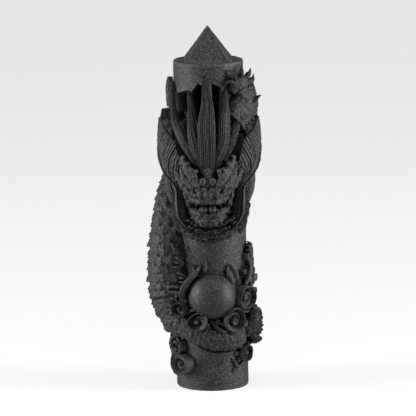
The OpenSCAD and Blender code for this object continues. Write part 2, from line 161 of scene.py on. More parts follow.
def ink_material(name, tone=1.0, specks=1.0, rough=0.62, rub=1.0, bump=1.0):
    """Pressed lampblack ink: charcoal with pale mineral specks, edges rubbed lighter, painted shade in
    hollows.

    The mesh's own value for rubbing and painted shade says how proud (above 0.5) or how hollow (below) each
    place is.
    """
    material = bpy.data.materials.new(name)
    material.use_nodes = True
    nodes, links = material.node_tree.nodes, material.node_tree.links
    shader = nodes["Principled BSDF"]
    coordinate = nodes.new("ShaderNodeTexCoord")

    def noise(scale, detail=2.0, roughness=0.5):
        node = nodes.new("ShaderNodeTexNoise")
        node.inputs["Scale"].default_value = scale
        node.inputs["Detail"].default_value = detail
        node.inputs["Roughness"].default_value = roughness
        links.new(coordinate.outputs["Object"], node.inputs["Vector"])
        return node.outputs["Fac"]

    def ramp(value, stops):
        node = nodes.new("ShaderNodeValToRGB")
        elements = node.color_ramp.elements
        while len(elements) < len(stops):
            elements.new(0.5)
        for element, (place, level) in zip(elements, stops):
            element.position = place
            element.color = (level, level, level, 1)
        links.new(value, node.inputs[0])
        return node.outputs["Color"]

    def math_node(operation, a, b):
        node = nodes.new("ShaderNodeMath")
        node.operation = operation
        for socket, value in zip(node.inputs, (a, b)):
            if isinstance(value, (int, float)):
                socket.default_value = value
            else:
                links.new(value, socket)
        return node.outputs[0]

    def blend(mode, fac, a, b):
        node = nodes.new("ShaderNodeMix")
        node.data_type = "RGBA"
        node.blend_type = mode
        for socket, value in ((node.inputs[0], fac), (node.inputs[6], a), (node.inputs[7], b)):
            if isinstance(value, (int, float, tuple)):
                socket.default_value = value
            else:
                links.new(value, socket)
        return node.outputs[2]

    wear_and_shade = nodes.new("ShaderNodeAttribute")
    wear_and_shade.attribute_name = "wear_and_shade"
    worn = wear_and_shade.outputs["Fac"]
    clouding = noise(70, 4, 0.6)
    mottle = noise(520, 3, 0.6)
    fleck = noise(1900, 1, 0.4)
    dust = noise(3600, 0, 0.4)

    dark = (0.008 * tone, 0.0079 * tone, 0.0084 * tone, 1)
    pale = (0.034 * tone, 0.0333 * tone, 0.035 * tone, 1)
    body = blend("MIX",
                 math_node("ADD", math_node("MULTIPLY", clouding, 0.55), math_node("MULTIPLY", mottle, 0.45)),
                 dark, pale)
    # Proud places rubbed lighter; hollows darkened as painted shade
    edges = ramp(worn, [(0.0, 0.34), (0.46, 0.84), (0.56, 1.0), (0.74, 1.0 + 1.15 * rub)])
    body = blend("MULTIPLY", 1.0, body, edges)
    # Painted shade in recesses: the colour darkens where ambient occlusion finds surfaces close by
    hollow = nodes.new("ShaderNodeAmbientOcclusion")
    hollow.samples = 6
    hollow.inputs["Distance"].default_value = 0.007
    painted_hollow_shade = ramp(hollow.outputs["AO"], [(0.10, 0.07), (0.26, 0.52), (0.44, 0.86), (0.70, 1.0)])
    flecks = ramp(fleck, [(0.56, 0.0), (0.70, 0.16 * specks)])
    dusting = ramp(dust, [(0.53, 0.0), (0.72, 0.13 * specks)])
    body = blend("ADD", 1.0, body, flecks)
    body = blend("ADD", 1.0, body, dusting)
    # Painted shade: hollows and shaded floors darkened again, specks included
    body = blend("MULTIPLY", 1.0, body, ramp(worn, [(0.0, 0.14), (0.20, 0.85), (0.36, 1.0)]))
    body = blend("MULTIPLY", 1.0, body, painted_hollow_shade)
    links.new(body, shader.inputs["Base Color"])
    links.new(ramp(mottle, [(0.3, rough - 0.09), (0.7, rough + 0.10)]), shader.inputs["Roughness"])
    # The same painted shade also dims the reflection in recesses
    links.new(math_node("MULTIPLY", painted_hollow_shade, 0.62), shader.inputs["Specular IOR Level"])

    height = math_node("ADD", math_node("MULTIPLY", mottle, 0.5), math_node("MULTIPLY", fleck, 0.35))
    height = math_node("ADD", height, math_node("MULTIPLY", noise(5200, 1, 0.5), 0.15))
    relief = nodes.new("ShaderNodeBump")
    relief.inputs["Strength"].default_value = 0.55 * bump
    relief.inputs["Distance"].default_value = 0.00045
    links.new(height, relief.inputs["Height"])
    links.new(relief.outputs["Normal"], shader.inputs["Normal"])
    return material


INKS = {
    "ink_plain": ink_material("ink_plain", tone=1.0, specks=1.1, rough=0.60, rub=1.5),
    "ink_polished": ink_material("ink_polished", tone=1.0, specks=0.8, rough=0.50, bump=0.7),
    "ink_scale": ink_material("ink_scale", tone=0.98, specks=0.9, rough=0.60),
    "ink_hair": ink_material("ink_hair", tone=0.95, specks=0.8, rough=0.58, bump=0.7),
    "ink_cloud": ink_material("ink_cloud", tone=1.30, specks=1.0, rough=0.60),
}


# ---------------------------------------------------------------- noise, places and paths

def lattice(seed):
    """A repeating 32-cube of random values, the same at every run."""
    return np.random.default_rng(seed).random((32, 32, 32)) * 2 - 1


LATTICES = [lattice(seed) for seed in (11, 23, 47)]


def value_noise(points, size, which=0):
    """Smooth noise from -1 to 1 with lumps about `size` mm across, at an array of points."""
    table = LATTICES[which]
    p = np.asarray(points) / size + 100.0
    cell = np.floor(p).astype(int)
    f = p - cell
    f = f * f * (3 - 2 * f)
    total = np.zeros(p.shape[:-1])
    for dx in (0, 1):
        for dy in (0, 1):
            for dz in (0, 1):
                w = (f[..., 0] if dx else 1 - f[..., 0]) * (f[..., 1] if dy else 1 - f[..., 1])
                w = w * (f[..., 2] if dz else 1 - f[..., 2])
                corner = (cell + (dx, dy, dz)) % 32
                total += w * table[corner[..., 0], corner[..., 1], corner[..., 2]]
    return total


def fractal(points, size, octaves=3, which=0):
    """Sum of noises, each half as large and half as strong."""
    return sum(value_noise(points, size / 2 ** k, (which + k) % 3) / 2 ** k for k in range(octaves))


def grit(p, size=1.3, amount=0.2):
    """The small lumps that a worn wooden mould leaves on every carved surface."""
    return amount * value_noise(p, size, 0) + 0.5 * amount * value_noise(p, size * 0.55, 1)


def skin(z):
    """Radius of the column at height z."""
    return BASE_R + (TOP_R - BASE_R) * np.asarray(z, float) / COLUMN_H


def place(a, r, z):
    """Point at angle a (degrees from the front), distance r from the axis, height z."""
    g = np.radians(a)
    return np.stack(np.broadcast_arrays(r * np.sin(g), -r * np.cos(g), np.asarray(z, float)), -1)


def outward(a):
    """The direction away from the axis at angle a."""
    return place(a, 1.0, 0.0)


def on_column(rows):
    """Points in space from rows that start with angle, height, distance out."""
    rows = np.asarray(rows, float)
    return place(rows[:, 0], skin(rows[:, 1]) + rows[:, 2], rows[:, 1])


def arc(x):
    """Angle of a place x mm to the right of the middle of the face, along the skin."""
    return FACE_A + math.degrees(x / FACE_R)


def flip(side, rows):
    """Rows of one half, whose first value, the angle, takes the side's sign."""
    return [[side * row[0], *row[1:]] for row in rows]


def smooth_rows(rows, count):
    """A Catmull-Rom curve through given rows, sampled evenly in row number."""
    rows = np.asarray(rows, float)
    n = len(rows) - 1
    t = np.linspace(0, n, count)
    i = np.minimum(t.astype(int), n - 1)
    f = (t - i)[:, None]
    a, b, c, d = (rows[np.clip(i + k, 0, n)] for k in (-1, 0, 1, 2))
    square = 2 * a - 5 * b + 4 * c - d
    cube = 3 * b - a - 3 * c + d
    return (2 * b + (c - a) * f + square * f ** 2 + cube * f ** 3) / 2


# ---------------------------------------------------------------- meshes

# How many rings of neighbours a vertex is compared with
WEAR_REACH = 6


def wear_values(points, edges, normals):
    """How far in mm each vertex stands proud of its neighbours' average; negative in a hollow."""
    pairs = np.concatenate([edges, edges[:, ::-1]])
    count = np.maximum(np.bincount(pairs[:, 0], minlength=len(points)), 1)

    def spread(values):
        return np.bincount(pairs[:, 0], values[pairs[:, 1]], len(points)) / count

    average = points
    for _ in range(WEAR_REACH):
        average = np.stack([spread(average[:, k]) for k in range(3)], 1)
    proud = ((points - average) * normals).sum(1)
    for _ in range(2):
        proud = 0.5 * proud + 0.5 * spread(proud)
    return proud


def build(name, points, faces, ink, nodes, wear_and_shade_scale=0.16, painted_shade=None):
    """Makes one piece from points in millimetres, and has it ride and stand for its CAD nodes.

    The optional function of points says how much painted shade darkens each place, for the floor of a hollow."""
    mesh = bpy.data.meshes.new(name)
    points = np.asarray(points, float)
    mesh.from_pydata((points * MM).tolist(), [], faces)
    mesh.validate()
    mesh.update()
    normals = np.zeros(len(mesh.vertices) * 3, np.float32)
    mesh.vertex_normals.foreach_get("vector", normals)
    edges = np.zeros(len(mesh.edges) * 2, np.int32)
    mesh.edges.foreach_get("vertices", edges)
    points = np.zeros(len(mesh.vertices) * 3, np.float32)
    mesh.vertices.foreach_get("co", points)
    proud = wear_values(points.reshape(-1, 3).astype(float) / MM, edges.reshape(-1, 2),
                        normals.reshape(-1, 3).astype(float))
    # Painted shade on the floors of hollows, taken off the value
    kept = painted_shade(points.reshape(-1, 3) / MM) if painted_shade is not None else 0.0
    wear_and_shade = np.clip(0.5 + proud / wear_and_shade_scale * 0.25 - kept, 0, 1)
    mesh.attributes.new("wear_and_shade", "FLOAT", "POINT").data.foreach_set("value", wear_and_shade.astype(np.float32))
    mesh.polygons.foreach_set("use_smooth", [True] * len(mesh.polygons))
    obj = bpy.data.objects.new(name, mesh)
    bpy.context.scene.collection.objects.link(obj)
    mesh.materials.append(INKS[ink])
    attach(obj, "root")
    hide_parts(*nodes)
    return obj


class Parts:
    """Gathers shells into one piece."""

    def __init__(self):
        self.points, self.faces, self.count = [], [], 0

    def add(self, points, faces):
        points = np.asarray(points).reshape(-1, 3)
        self.points.append(points)
        self.faces += [[i + self.count for i in face] for face in faces]
        self.count += len(points)

    def build(self, name, ink, nodes, **more):
        return build(name, np.concatenate(self.points), self.faces, ink, nodes, **more)


def tube_faces(rings, sides):
    """Quads between closed rings, with a fan at each end to two extra points at the list's end."""
    i, j = np.meshgrid(np.arange(rings - 1), np.arange(sides), indexing="ij")
    k = (j + 1) % sides
    quads = np.stack([i * sides + j, i * sides + k, (i + 1) * sides + k, (i + 1) * sides + j], -1)
    first, last = rings * sides, rings * sides + 1
    e = (rings - 1) * sides
    faces = quads.reshape(-1, 4).tolist()
    faces += [[first, (j + 1) % sides, j] for j in range(sides)]
    faces += [[last, e + j, e + (j + 1) % sides] for j in range(sides)]
    return faces


def path_frames(rows, count):
    """A smooth path round the column: its rows, centres, outward and side directions, and length so far.

    Rows are [angle, height, distance out to the middle, half-width, half-height]."""
    path = smooth_rows(rows, count)
    centres = on_column(path)
    along = np.gradient(centres, axis=0)
    along /= np.linalg.norm(along, axis=1)[:, None]
    out = place(path[:, 0], 1.0, 0.0)
    out = out - (out * along).sum(1)[:, None] * along
    out /= np.linalg.norm(out, axis=1)[:, None]
    side = np.cross(along, out)
    length = np.concatenate([[0], np.cumsum(np.linalg.norm(np.diff(centres, axis=0), axis=1))])
    return path, centres, out, side, length


def sweep(rows, count, sides, shape=None, power=1.0):
    """A limb swept along a path. shape(s, g, w, q, p) gives how far each place stands out of the section.

    s is the length along (mm), g the angle round the section (0 at one edge, 90 outwards), w and q the
    half-sizes there and p the points before. power under 1 squares the section's shoulders."""
    path, centres, out, side, length = path_frames(rows, count)
    g = np.linspace(0, 2 * np.pi, sides, endpoint=False)
    cosine = np.sign(np.cos(g)) * np.abs(np.cos(g)) ** power
    sine = np.sign(np.sin(g)) * np.abs(np.sin(g)) ** power
    w, q = path[:, 3][:, None], path[:, 4][:, None]
    ray = (w * cosine)[..., None] * side[:, None] + (q * sine)[..., None] * out[:, None]
    points = centres[:, None] + ray
    if shape is not None:
        direction = (q * cosine)[..., None] * side[:, None] + (w * sine)[..., None] * out[:, None]
        direction /= np.linalg.norm(direction, axis=-1)[..., None] + 1e-9
        s = np.broadcast_to(length[:, None], points.shape[:2])
        gg = np.broadcast_to(g[None], points.shape[:2])
        points = points + direction * shape(s, gg, w + 0 * s, q + 0 * s, points)[..., None]
    ends = np.stack([points[0].mean(0), points[-1].mean(0)])
    return np.concatenate([points.reshape(-1, 3), ends]), tube_faces(count, sides)


def horn(track, wide, thick, facing, count=26, sides=18, strands=0, cut=0.0, rough=0.12):
    """A tapering limb through points in space, its broad side turned to `facing`.

    strands is how many grooves run along it, and cut how deep they are as a share of its thickness."""
    path = smooth_rows(track, count)
    t = np.linspace(0, len(wide) - 1, count)
    w = np.interp(t, np.arange(len(wide)), wide)[:, None]
    h = np.interp(np.linspace(0, len(thick) - 1, count), np.arange(len(thick)), thick)[:, None]
    along = np.gradient(path, axis=0)
    along /= np.linalg.norm(along, axis=1)[:, None] + 1e-9
    out = np.broadcast_to(np.asarray(facing, float), path.shape)
    out = out - (out * along).sum(1)[:, None] * along
    out /= np.linalg.norm(out, axis=1)[:, None] + 1e-9
    side = np.cross(along, out)
    g = np.linspace(0, 2 * np.pi, sides, endpoint=False)
    groove = 1.0
    if strands:
        groove = 1 - cut * (0.5 - 0.5 * np.cos(np.cos(g) * strands * np.pi))
    ray = (w * np.cos(g))[..., None] * side[:, None] + (h * np.sin(g) * groove)[..., None] * out[:, None]
    points = path[:, None] + ray
    lump = grit(points, 1.2, rough) * np.clip(w, 0, 1)
    points = points + ray / (np.linalg.norm(ray, axis=-1)[..., None] + 1e-6) * lump[..., None]
    ends = np.stack([path[0], path[-1]])
    return np.concatenate([points.reshape(-1, 3), ends]), tube_faces(count, sides)


def scroll(a, z, radius, out, turns, hand, wide=1.0, ridge=0.9, rings=44, sides=96):
    """A cloud scroll: a cushion with a spiral ridge wound on its top, standing on the column."""
    middle = place(a, skin(z), z)
    o, s, u = outward(a), outward(a + 90), np.array([0, 0, 1.0])
    f = np.linspace(0, 1, rings)[1:, None]
    g = np.linspace(0, 2 * np.pi, sides, endpoint=False)[None]
    phase = g * hand / (2 * np.pi) + f * turns
    wound = (0.5 + 0.5 * np.cos(2 * np.pi * phase)) ** 0.7
    rim = np.exp(-((f - 0.90) / 0.09) ** 2)
    dish = -0.9 * np.clip(1 - ((f - 0.5) / 0.40) ** 2, 0, 1)
    relief = (wound - 0.7) * 1.3 * np.clip(f * 3, 0, 1) * (1 - 0.6 * rim) + 0.7 * rim + dish
    height = out + ridge * relief
    swell = 1 + 0.07 * np.sin(g * 2 + a) + 0.05 * np.sin(g * 3 + z)
    across = (radius * wide * f * swell * np.cos(g))[..., None] * s
    flat = middle + across + (radius * f * swell * np.sin(g))[..., None] * u
    drop = 1 - ((f - 0.92) / 0.08).clip(0, 1) ** 2 * 0.22
    top = flat + (height * drop)[..., None] * o
    top = top + grit(top, 1.2, 0.16 * min(1.0, radius / 3))[..., None] * o
    edge = flat[-1]
    reach = np.linalg.norm(edge[:, :2], axis=1)
    foot_ring = edge * np.stack([(skin(edge[:, 2]) - 0.4) / reach] * 2 + [np.ones(len(edge))], 1)
    skirt = [top[-1] * (1 - k) + foot_ring * k for k in (0.2, 0.45, 0.7, 1.0)]
    rows = np.concatenate([top, np.stack(skirt)])
    ends = np.stack([middle + o * (height[0].mean() + 0.1), middle - o * 0.5])
    return np.concatenate([rows.reshape(-1, 3), ends]), [f[::-1] for f in tube_faces(len(rows), sides)]


def curls(parts, table):
    """Small scrolls and knobs that fill a cloud: rows of [angle, height, radius, out]."""
    for k, (a, z, radius, out) in enumerate(table):
        turns = 1.3 if radius > 1.7 else 0.0
        ridge = 0.7 if radius > 1.7 else 0.25
        parts.add(*scroll(a, z, radius, out, turns, 1 if k % 2 else -1, 1.0, ridge, 16, 34))


# ---------------------------------------------------------------- the column and the pearl

# Hollows between the mane's locks, each a convex ring of corners [angle, height];
# how deep they are, and the heights between which their floors get painted shade
POCKETS = [
    [(-71, 147.0), (-35.5, 150.0), (-36, 134.8), (-40, 126.0), (-62, 135.0)],
    [(-33, 147.6), (-17.5, 153.6), (-8.5, 152.2), (-11, 140.7), (-18, 131.0), (-27, 141.5)],
    [(4.5, 153.5), (21, 151.5), (20, 145), (13, 128), (10.2, 129), (6.5, 142)],
    [(46, 146.0), (63, 147.0), (58, 141), (45, 135.5), (41, 140.5)],
    [(-88, 126.0), (-88, 138.0), (-63, 138.5), (-58, 133.5), (-60, 127.0)],
    [(88, 126.0), (88, 137.0), (62, 137.0), (57, 132.5), (60, 127.0)],
]
POCKET_DEPTH = 9.0
POCKET_LOW, POCKET_HIGH = 104, 158

# The shadowed edge under the body's last run across the front: [angle, height]
LEDGE = [(-48, 27.6), (-42, 26.1), (-30, 24.8), (-18, 22.9), (-6, 21.0), (4, 20.3), (32, 20.6), (60, 20.0),
         (80, 19.0)]


def inside(a, z, corners):
    """Distance in mm inside a convex ring of corners on the unrolled skin; negative outside it."""
    mm = math.radians(1) * TOP_R
    u, v = np.broadcast_arrays(np.asarray(a) * mm, np.asarray(z, float))
    ring = [(x * mm, y) for x, y in corners]
    area = sum(p[0] * q[1] - q[0] * p[1] for p, q in zip(ring, ring[1:] + ring[:1]))
    turn = 1 if area > 0 else -1
    best = np.full(u.shape, 1e9)
    for p, q in zip(ring, ring[1:] + ring[:1]):
        dx, dy = q[0] - p[0], q[1] - p[1]
        best = np.minimum(best, turn * (dx * (v - p[1]) - dy * (u - p[0])) / math.hypot(dx, dy))
    return best


def pocket_painted_shade(points):
    """Painted shade on the floors of the hollows behind the mane."""
    height = points[:, 2]
    depth = skin(height) - np.hypot(points[:, 0], points[:, 1])
    return 0.7 * np.clip((depth - 1.6) / 2.0, 0, 1) * (height > POCKET_LOW) * (height < POCKET_HIGH)


def shaft():
    """The column: a fine grid with worn rims, hollows behind the mane with painted shade on their floors, and
    a shadowed ledge.
    """
    around, up = 440, 450
    a = np.linspace(-180, 180, around, endpoint=False)
    rim = 0.8
    z = np.concatenate([[0, 0.25, 0.55], np.linspace(rim, COLUMN_H - rim, up - 6),
                        [COLUMN_H - 0.5, COLUMN_H - 0.2, COLUMN_H]])
    fall = np.clip(np.minimum(z, COLUMN_H - z) / rim, 0, 1)
    bevel = 0.5 * (1 - np.sqrt(1 - (1 - fall) ** 2))
    radius = skin(z) - bevel
    points = place(a[None, :], radius[:, None], z[:, None])
    uneven = 0.10 * fractal(points, 14, 2) + 0.07 * fractal(points, 2.6, 3, 1)
    chips = np.clip(value_noise(points, 2.2, 2) - 0.45, 0, 1) * (1 - fall)[:, None] * 1.2
    dents = 0
    for corners in POCKETS:
        within = np.clip(inside(a[None], z[:, None], corners) / 0.8, 0, 1)
        dents = np.maximum(dents, POCKET_DEPTH * within)
    edge = np.interp(a, [p[0] for p in LEDGE], [p[1] for p in LEDGE])
    shown = np.clip((a - LEDGE[0][0]) / 8, 0, 1) * np.clip((LEDGE[-1][0] - a) / 20, 0, 1)
    ledge = 1.5 * shown[None] * np.exp(-(np.clip(edge[None] - 0.3 - z[:, None], -1.2, 9) / 0.8) ** 2)
    radius = radius[:, None] + uneven - chips - dents - ledge
    points = place(a[None, :], radius, z[:, None])
    ends = np.array([[0, 0, 0], [0, 0, COLUMN_H]])
    build("ink_shaft_carved", np.concatenate([points.reshape(-1, 3), ends]), tube_faces(len(z), around),
          "ink_plain", ["ink_shaft"], painted_shade=pocket_painted_shade)


def pyramid():
    """The four-sided point: each face a fine grid, its edges bevelled, rubbed and chipped."""
    n = 60
    half = (tip_high.x - tip_low.x) / 2 / MM
    edge = 4 * n
    levels = np.linspace(0, 1, 70)
    t = np.linspace(-1, 1, n, endpoint=False)
    ring = np.concatenate([np.stack([t, -np.ones(n)], 1), np.stack([np.ones(n), t], 1),
                           np.stack([-t, np.ones(n)], 1), np.stack([-np.ones(n), -t], 1)])
    ring /= np.maximum(1, np.abs(ring).sum(1) / 1.90)[:, None]
    size = half * (1 - levels) + 0.12
    points = np.zeros((len(levels), edge, 3))
    points[..., :2] = ring[None] * size[:, None, None]
    points[..., 2] = (COLUMN_H + POINT_H * levels - 0.1)[:, None]
    normal = np.concatenate([ring, np.full((edge, 1), half / POINT_H)], 1)
    normal /= np.linalg.norm(normal, axis=1)[:, None]
    corner = np.clip(np.abs(np.abs(ring[:, 0]) - np.abs(ring[:, 1])), 0, 1)
    chips = np.clip(value_noise(points, 1.8, 1) - 0.35, 0, 1) * np.exp(-(corner * 9) ** 2)[None]
    uneven = (0.07 * fractal(points, 3.0, 3) - 0.4 * chips)[..., None]
    points += normal[None] * uneven * np.minimum(1, size / 2)[:, None, None]
    ends = np.array([[0, 0, COLUMN_H - 0.1], [0, 0, COLUMN_H + POINT_H]])
    build("pyramid_tip_carved", np.concatenate([points.reshape(-1, 3), ends]), tube_faces(len(levels), edge),
          "ink_plain", ["pyramid_tip"], wear_and_shade_scale=0.045)


def pearl():
    """The pearl: a ball with the faint unevenness of hand rubbing, and the thin ring over its top."""
    low, high = (np.array(c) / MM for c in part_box("pearl"))
    radius = (high[0] - low[0]) / 2
    middle = np.array([(low[0] + high[0]) / 2, low[1] + radius, PEARL_Z])
    rings, sides = 150, 260
    g = np.linspace(0.02, np.pi - 0.02, rings)
    h = np.linspace(0, 2 * np.pi, sides, endpoint=False)
    unit = np.stack([np.sin(g)[:, None] * np.cos(h), np.sin(g)[:, None] * np.sin(h),
                     np.broadcast_to(-np.cos(g)[:, None], (rings, sides))], -1)
    points = middle + unit * radius
    points = points + unit * (0.05 * fractal(points, 5, 3) + 0.02 * fractal(points, 1.2, 2, 2))[..., None]
    ends = np.stack([middle - [0, 0, radius], middle + [0, 0, radius]])
    parts = Parts()
    parts.add(np.concatenate([points.reshape(-1, 3), ends]), tube_faces(rings, sides))
    # The thin ring round it, kept where the pearl stands as far out as the skin
    turn = np.radians(np.linspace(-10, 222, 90))
    ring = radius + 0.35
    reach = np.full(len(turn), ring)
    for _ in range(6):
        depth = np.sqrt(np.clip(BASE_R ** 2 - (reach * np.cos(turn)) ** 2, 0, None)) + middle[1]
        reach = np.sqrt(ring ** 2 - depth ** 2)
    track = np.stack([middle[0] + reach * np.cos(turn), middle[1] - depth, middle[2] + reach * np.sin(turn)],
                     1)
    wide, thick = [0.3, 0.55, 0.6, 0.6, 0.6, 0.55, 0.3], [0.3, 0.7, 0.8, 0.8, 0.8, 0.7, 0.3]
    parts.add(*horn(track, wide, thick, (0, -1, 0), 240, 18, 0, 0, 0.08))
    parts.build("pearl_rubbed", "ink_polished", ["pearl"])


# ---------------------------------------------------------------- the body

def scale_height(row, column):
    """Overlapping rounded scales on rows and columns, each raised towards its free end: 0 to 1."""
    best = np.zeros(np.broadcast(row, column).shape)
    for back in (0, 1):
        r = np.floor(row) - back
        stagger = 0.5 * (r % 2)
        c = np.round(column - stagger) + stagger
        along = row - r
        across = column - c
        inside = 1 - ((along - 0.72) / 0.98) ** 2 - (across / 0.62) ** 2
        keel = 0.22 * np.exp(-(across / 0.10) ** 2)
        height = (0.28 + 0.60 * along / 1.7 + keel) * np.clip(inside * 5, 0, 1) ** 0.5
        best = np.maximum(best, np.where(inside > 0, height, 0))
    return best


# Head to tail: angle, height, distance out to the middle, half-width, half-height.
# The angles grow past 360 so that the path never jumps.
BODY = [[42, 134, 0.4, 6.5, 4.0], [62, 140, 0.9, 8, 4.8], [90, 141.5, 1.0, 9, 4.4], [125, 137, 1.6, 9.8, 6.4],
        [158, 127, 2, 10.4, 8], [190, 113, 2.0, 11.0, 8.2], [224, 98, 1.4, 11.2, 7.6],
        [252, 84.5, 1.3, 11.6, 8.2], [268, 70, 1.5, 12, 9.6], [274, 56, 1.5, 12, 10.2],
        [281, 43, 1.2, 10.6, 9.4], [296, 34.5, 0.8, 7.8, 6.2], [318, 31.6, 0.4, 5.8, 4.4],
        [343, 28.6, 0.4, 5.5, 4.0], [372, 26, 0.4, 5.6, 3.8], [398, 26.2, 0.3, 5.4, 3.6],
        [412, 27.5, 0.2, 4.4, 3.0]]
BODY_RINGS, BODY_SIDES, SCALES_ROUND = 681, 176, 15


def body():
    """The scaled body, one continuous hide cut into four pieces where the CAD nodes meet."""
    def hide(s, g, w, q, p):
        pitch = 2 * np.pi * (w + q) / 2 / SCALES_ROUND
        row = np.concatenate([[0], np.cumsum(np.diff(s[:, 0]) / (0.92 * pitch[1:, 0]))])[:, None]
        size = pitch / 3.4
        wander = 0.16 * value_noise(p, 5.5, 1)
        scales = scale_height(row + wander, g / (2 * np.pi) * SCALES_ROUND + wander) * 1.5 * size
        band = row / 2
        groove = -0.95 * size * np.exp(-((band % 1 - 0.5) / 0.10) ** 2)
        belly = np.clip(np.cos(g + 0.25) * 2.2 - 0.7, 0, 1)
        plates = np.exp(-((g - 0.72) / 0.15) ** 2) * np.exp(-((band % 1) - 0.05) ** 2 / 0.05) * 1.5 * size
        crest = np.exp(-((g - np.pi / 2) / 0.12) ** 2) * (0.2 + 0.9 * (row * 0.75 % 1)) * size
        rough = 0.34 * fractal(p, 5, 2) + 0.24 * value_noise(p, 1.5, 2)
        return scales * (1 - 0.75 * belly) + groove * (0.25 + 0.75 * belly) + plates + crest + rough

    points, _ = sweep(BODY, BODY_RINGS, BODY_SIDES, hide, 0.78)
    rings = points[:-2].reshape(BODY_RINGS, BODY_SIDES, 3)
    step = (BODY_RINGS - 1) // (len(BODY) - 1)
    for name, first, last in (("neck_coil", 0, 3), ("back_coil", 3, 6), ("flank_coil", 6, 10),
                              ("lower_coil", 10, 16)):
        cut = rings[first * step:last * step + 1]
        ends = np.stack([cut[0].mean(0), cut[-1].mean(0)])
        build(name + "_scaled", np.concatenate([cut.reshape(-1, 3), ends]), tube_faces(len(cut), BODY_SIDES),
              "ink_scale", [name])
    return rings


def crest_fin(parts, rings, ring, side_index, height, length, lean=0.5):
    """One back fin: a curved blade that stands on the body at a ring and a place round it."""
    here = rings[ring, side_index]
    step = 6
    along = rings[min(ring + step, len(rings) - 1), side_index] - rings[max(ring - step, 0), side_index]
    along = along / np.linalg.norm(along)
    middle = rings[ring].mean(0)
    out = here - middle
    out = out - (out * along).sum() * along
    out /= np.linalg.norm(out)
    track = [here - along * length * 0.35 - out * 0.8, here + out * height * 0.45 - along * length * 0.05,
             here + out * height * 0.85 + along * length * lean * 0.7,
             here + out * height + along * length * lean * 1.5]
    parts.add(*horn(track, [length * 0.42, length * 0.36, length * 0.2, 0.1], [0.75, 0.6, 0.4, 0.1],
                    np.cross(along, out), 20, 14, 3, 0.3))


def barb(parts, upper, lower, tip, radius=0.75):
    """A small fin like an arrowhead: two bent rims that meet at the tip, and a web between them."""
    middle = [(u + v) / 2 for u, v in zip(upper, lower)]
    facing = outward((middle[0] + tip[0]) / 2)
    for root, lift in ((upper, 1.3), (lower, 1.0), (middle, 0.3)):
        half = [(r + t) / 2 + (r - m) * 0.35 for r, t, m in zip(root[:2], tip, middle)]
        half.append((root[2] + tip[2]) / 2 + lift)
        size = radius if lift > 0.5 else radius * 1.5
        parts.add(*horn(on_column([root, half, tip]), [size * 0.8, size, size * 0.6, 0.12],
                        [size, size, size * 0.7, 0.15], facing, 34, 16))


def dorsal_fins(rings):
    """Barbs where the body's inner edge meets the column, and blades along its edge over the back."""
    parts = Parts()
    barb(parts, [-55, 74.0, 6.0], [-53, 70.6, 5.0], [-44.5, 69.8, 4.4], 0.6)
    barb(parts, [-49, 67.4, 5.2], [-52, 62.4, 5.6], [-39, 64.0, 3.6], 0.65)
    barb(parts, [-46, 59.4, 5.4], [-44, 54.8, 4.6], [-33, 57.2, 2.6], 0.6)
    barb(parts, [-58, 80.0, 6.0], [-57, 77.2, 5.6], [-51, 77.4, 4.6], 0.5)
    last = 6 * (BODY_RINGS - 1) // (len(BODY) - 1)
    for k, ring in enumerate(range(60, last, 11)):
        crest_fin(parts, rings, ring, int(BODY_SIDES * 0.28), 1.8 + 0.3 * math.sin(k * 1.7), 3.6)
    parts.build("dorsal_fins_carved", "ink_scale", ["dorsal_fins"])


# ---------------------------------------------------------------- hair

def lock(name, rows, strands, depth=0.30):
    """A flame-shaped lock of the mane with fine grooves that run to its tip."""
    def grooves(s, g, w, q, p):
        lane = np.cos(g) + 0.05 * np.sin(s * 0.35)
        edge = np.clip(np.abs(np.sin(g)) * 2.2, 0, 1)
        fade = np.clip(w / 1.4, 0.2, 1)
        ridge = np.abs(np.cos(lane * strands * np.pi / 2)) ** 0.6 - 0.7
        main = np.exp(-(np.abs(lane - 0.30) / 0.06) ** 2)
        main = main + 0.8 * np.exp(-(np.abs(lane + 0.38) / 0.06) ** 2)
        return (ridge * depth * 1.8 - main * depth * 1.6) * edge * fade + grit(p, 1.3, 0.10)

    parts = Parts()
    parts.add(*sweep(rows, 190, 120, grooves, 0.9))
    parts.build(name + "_combed", "ink_hair", [name])


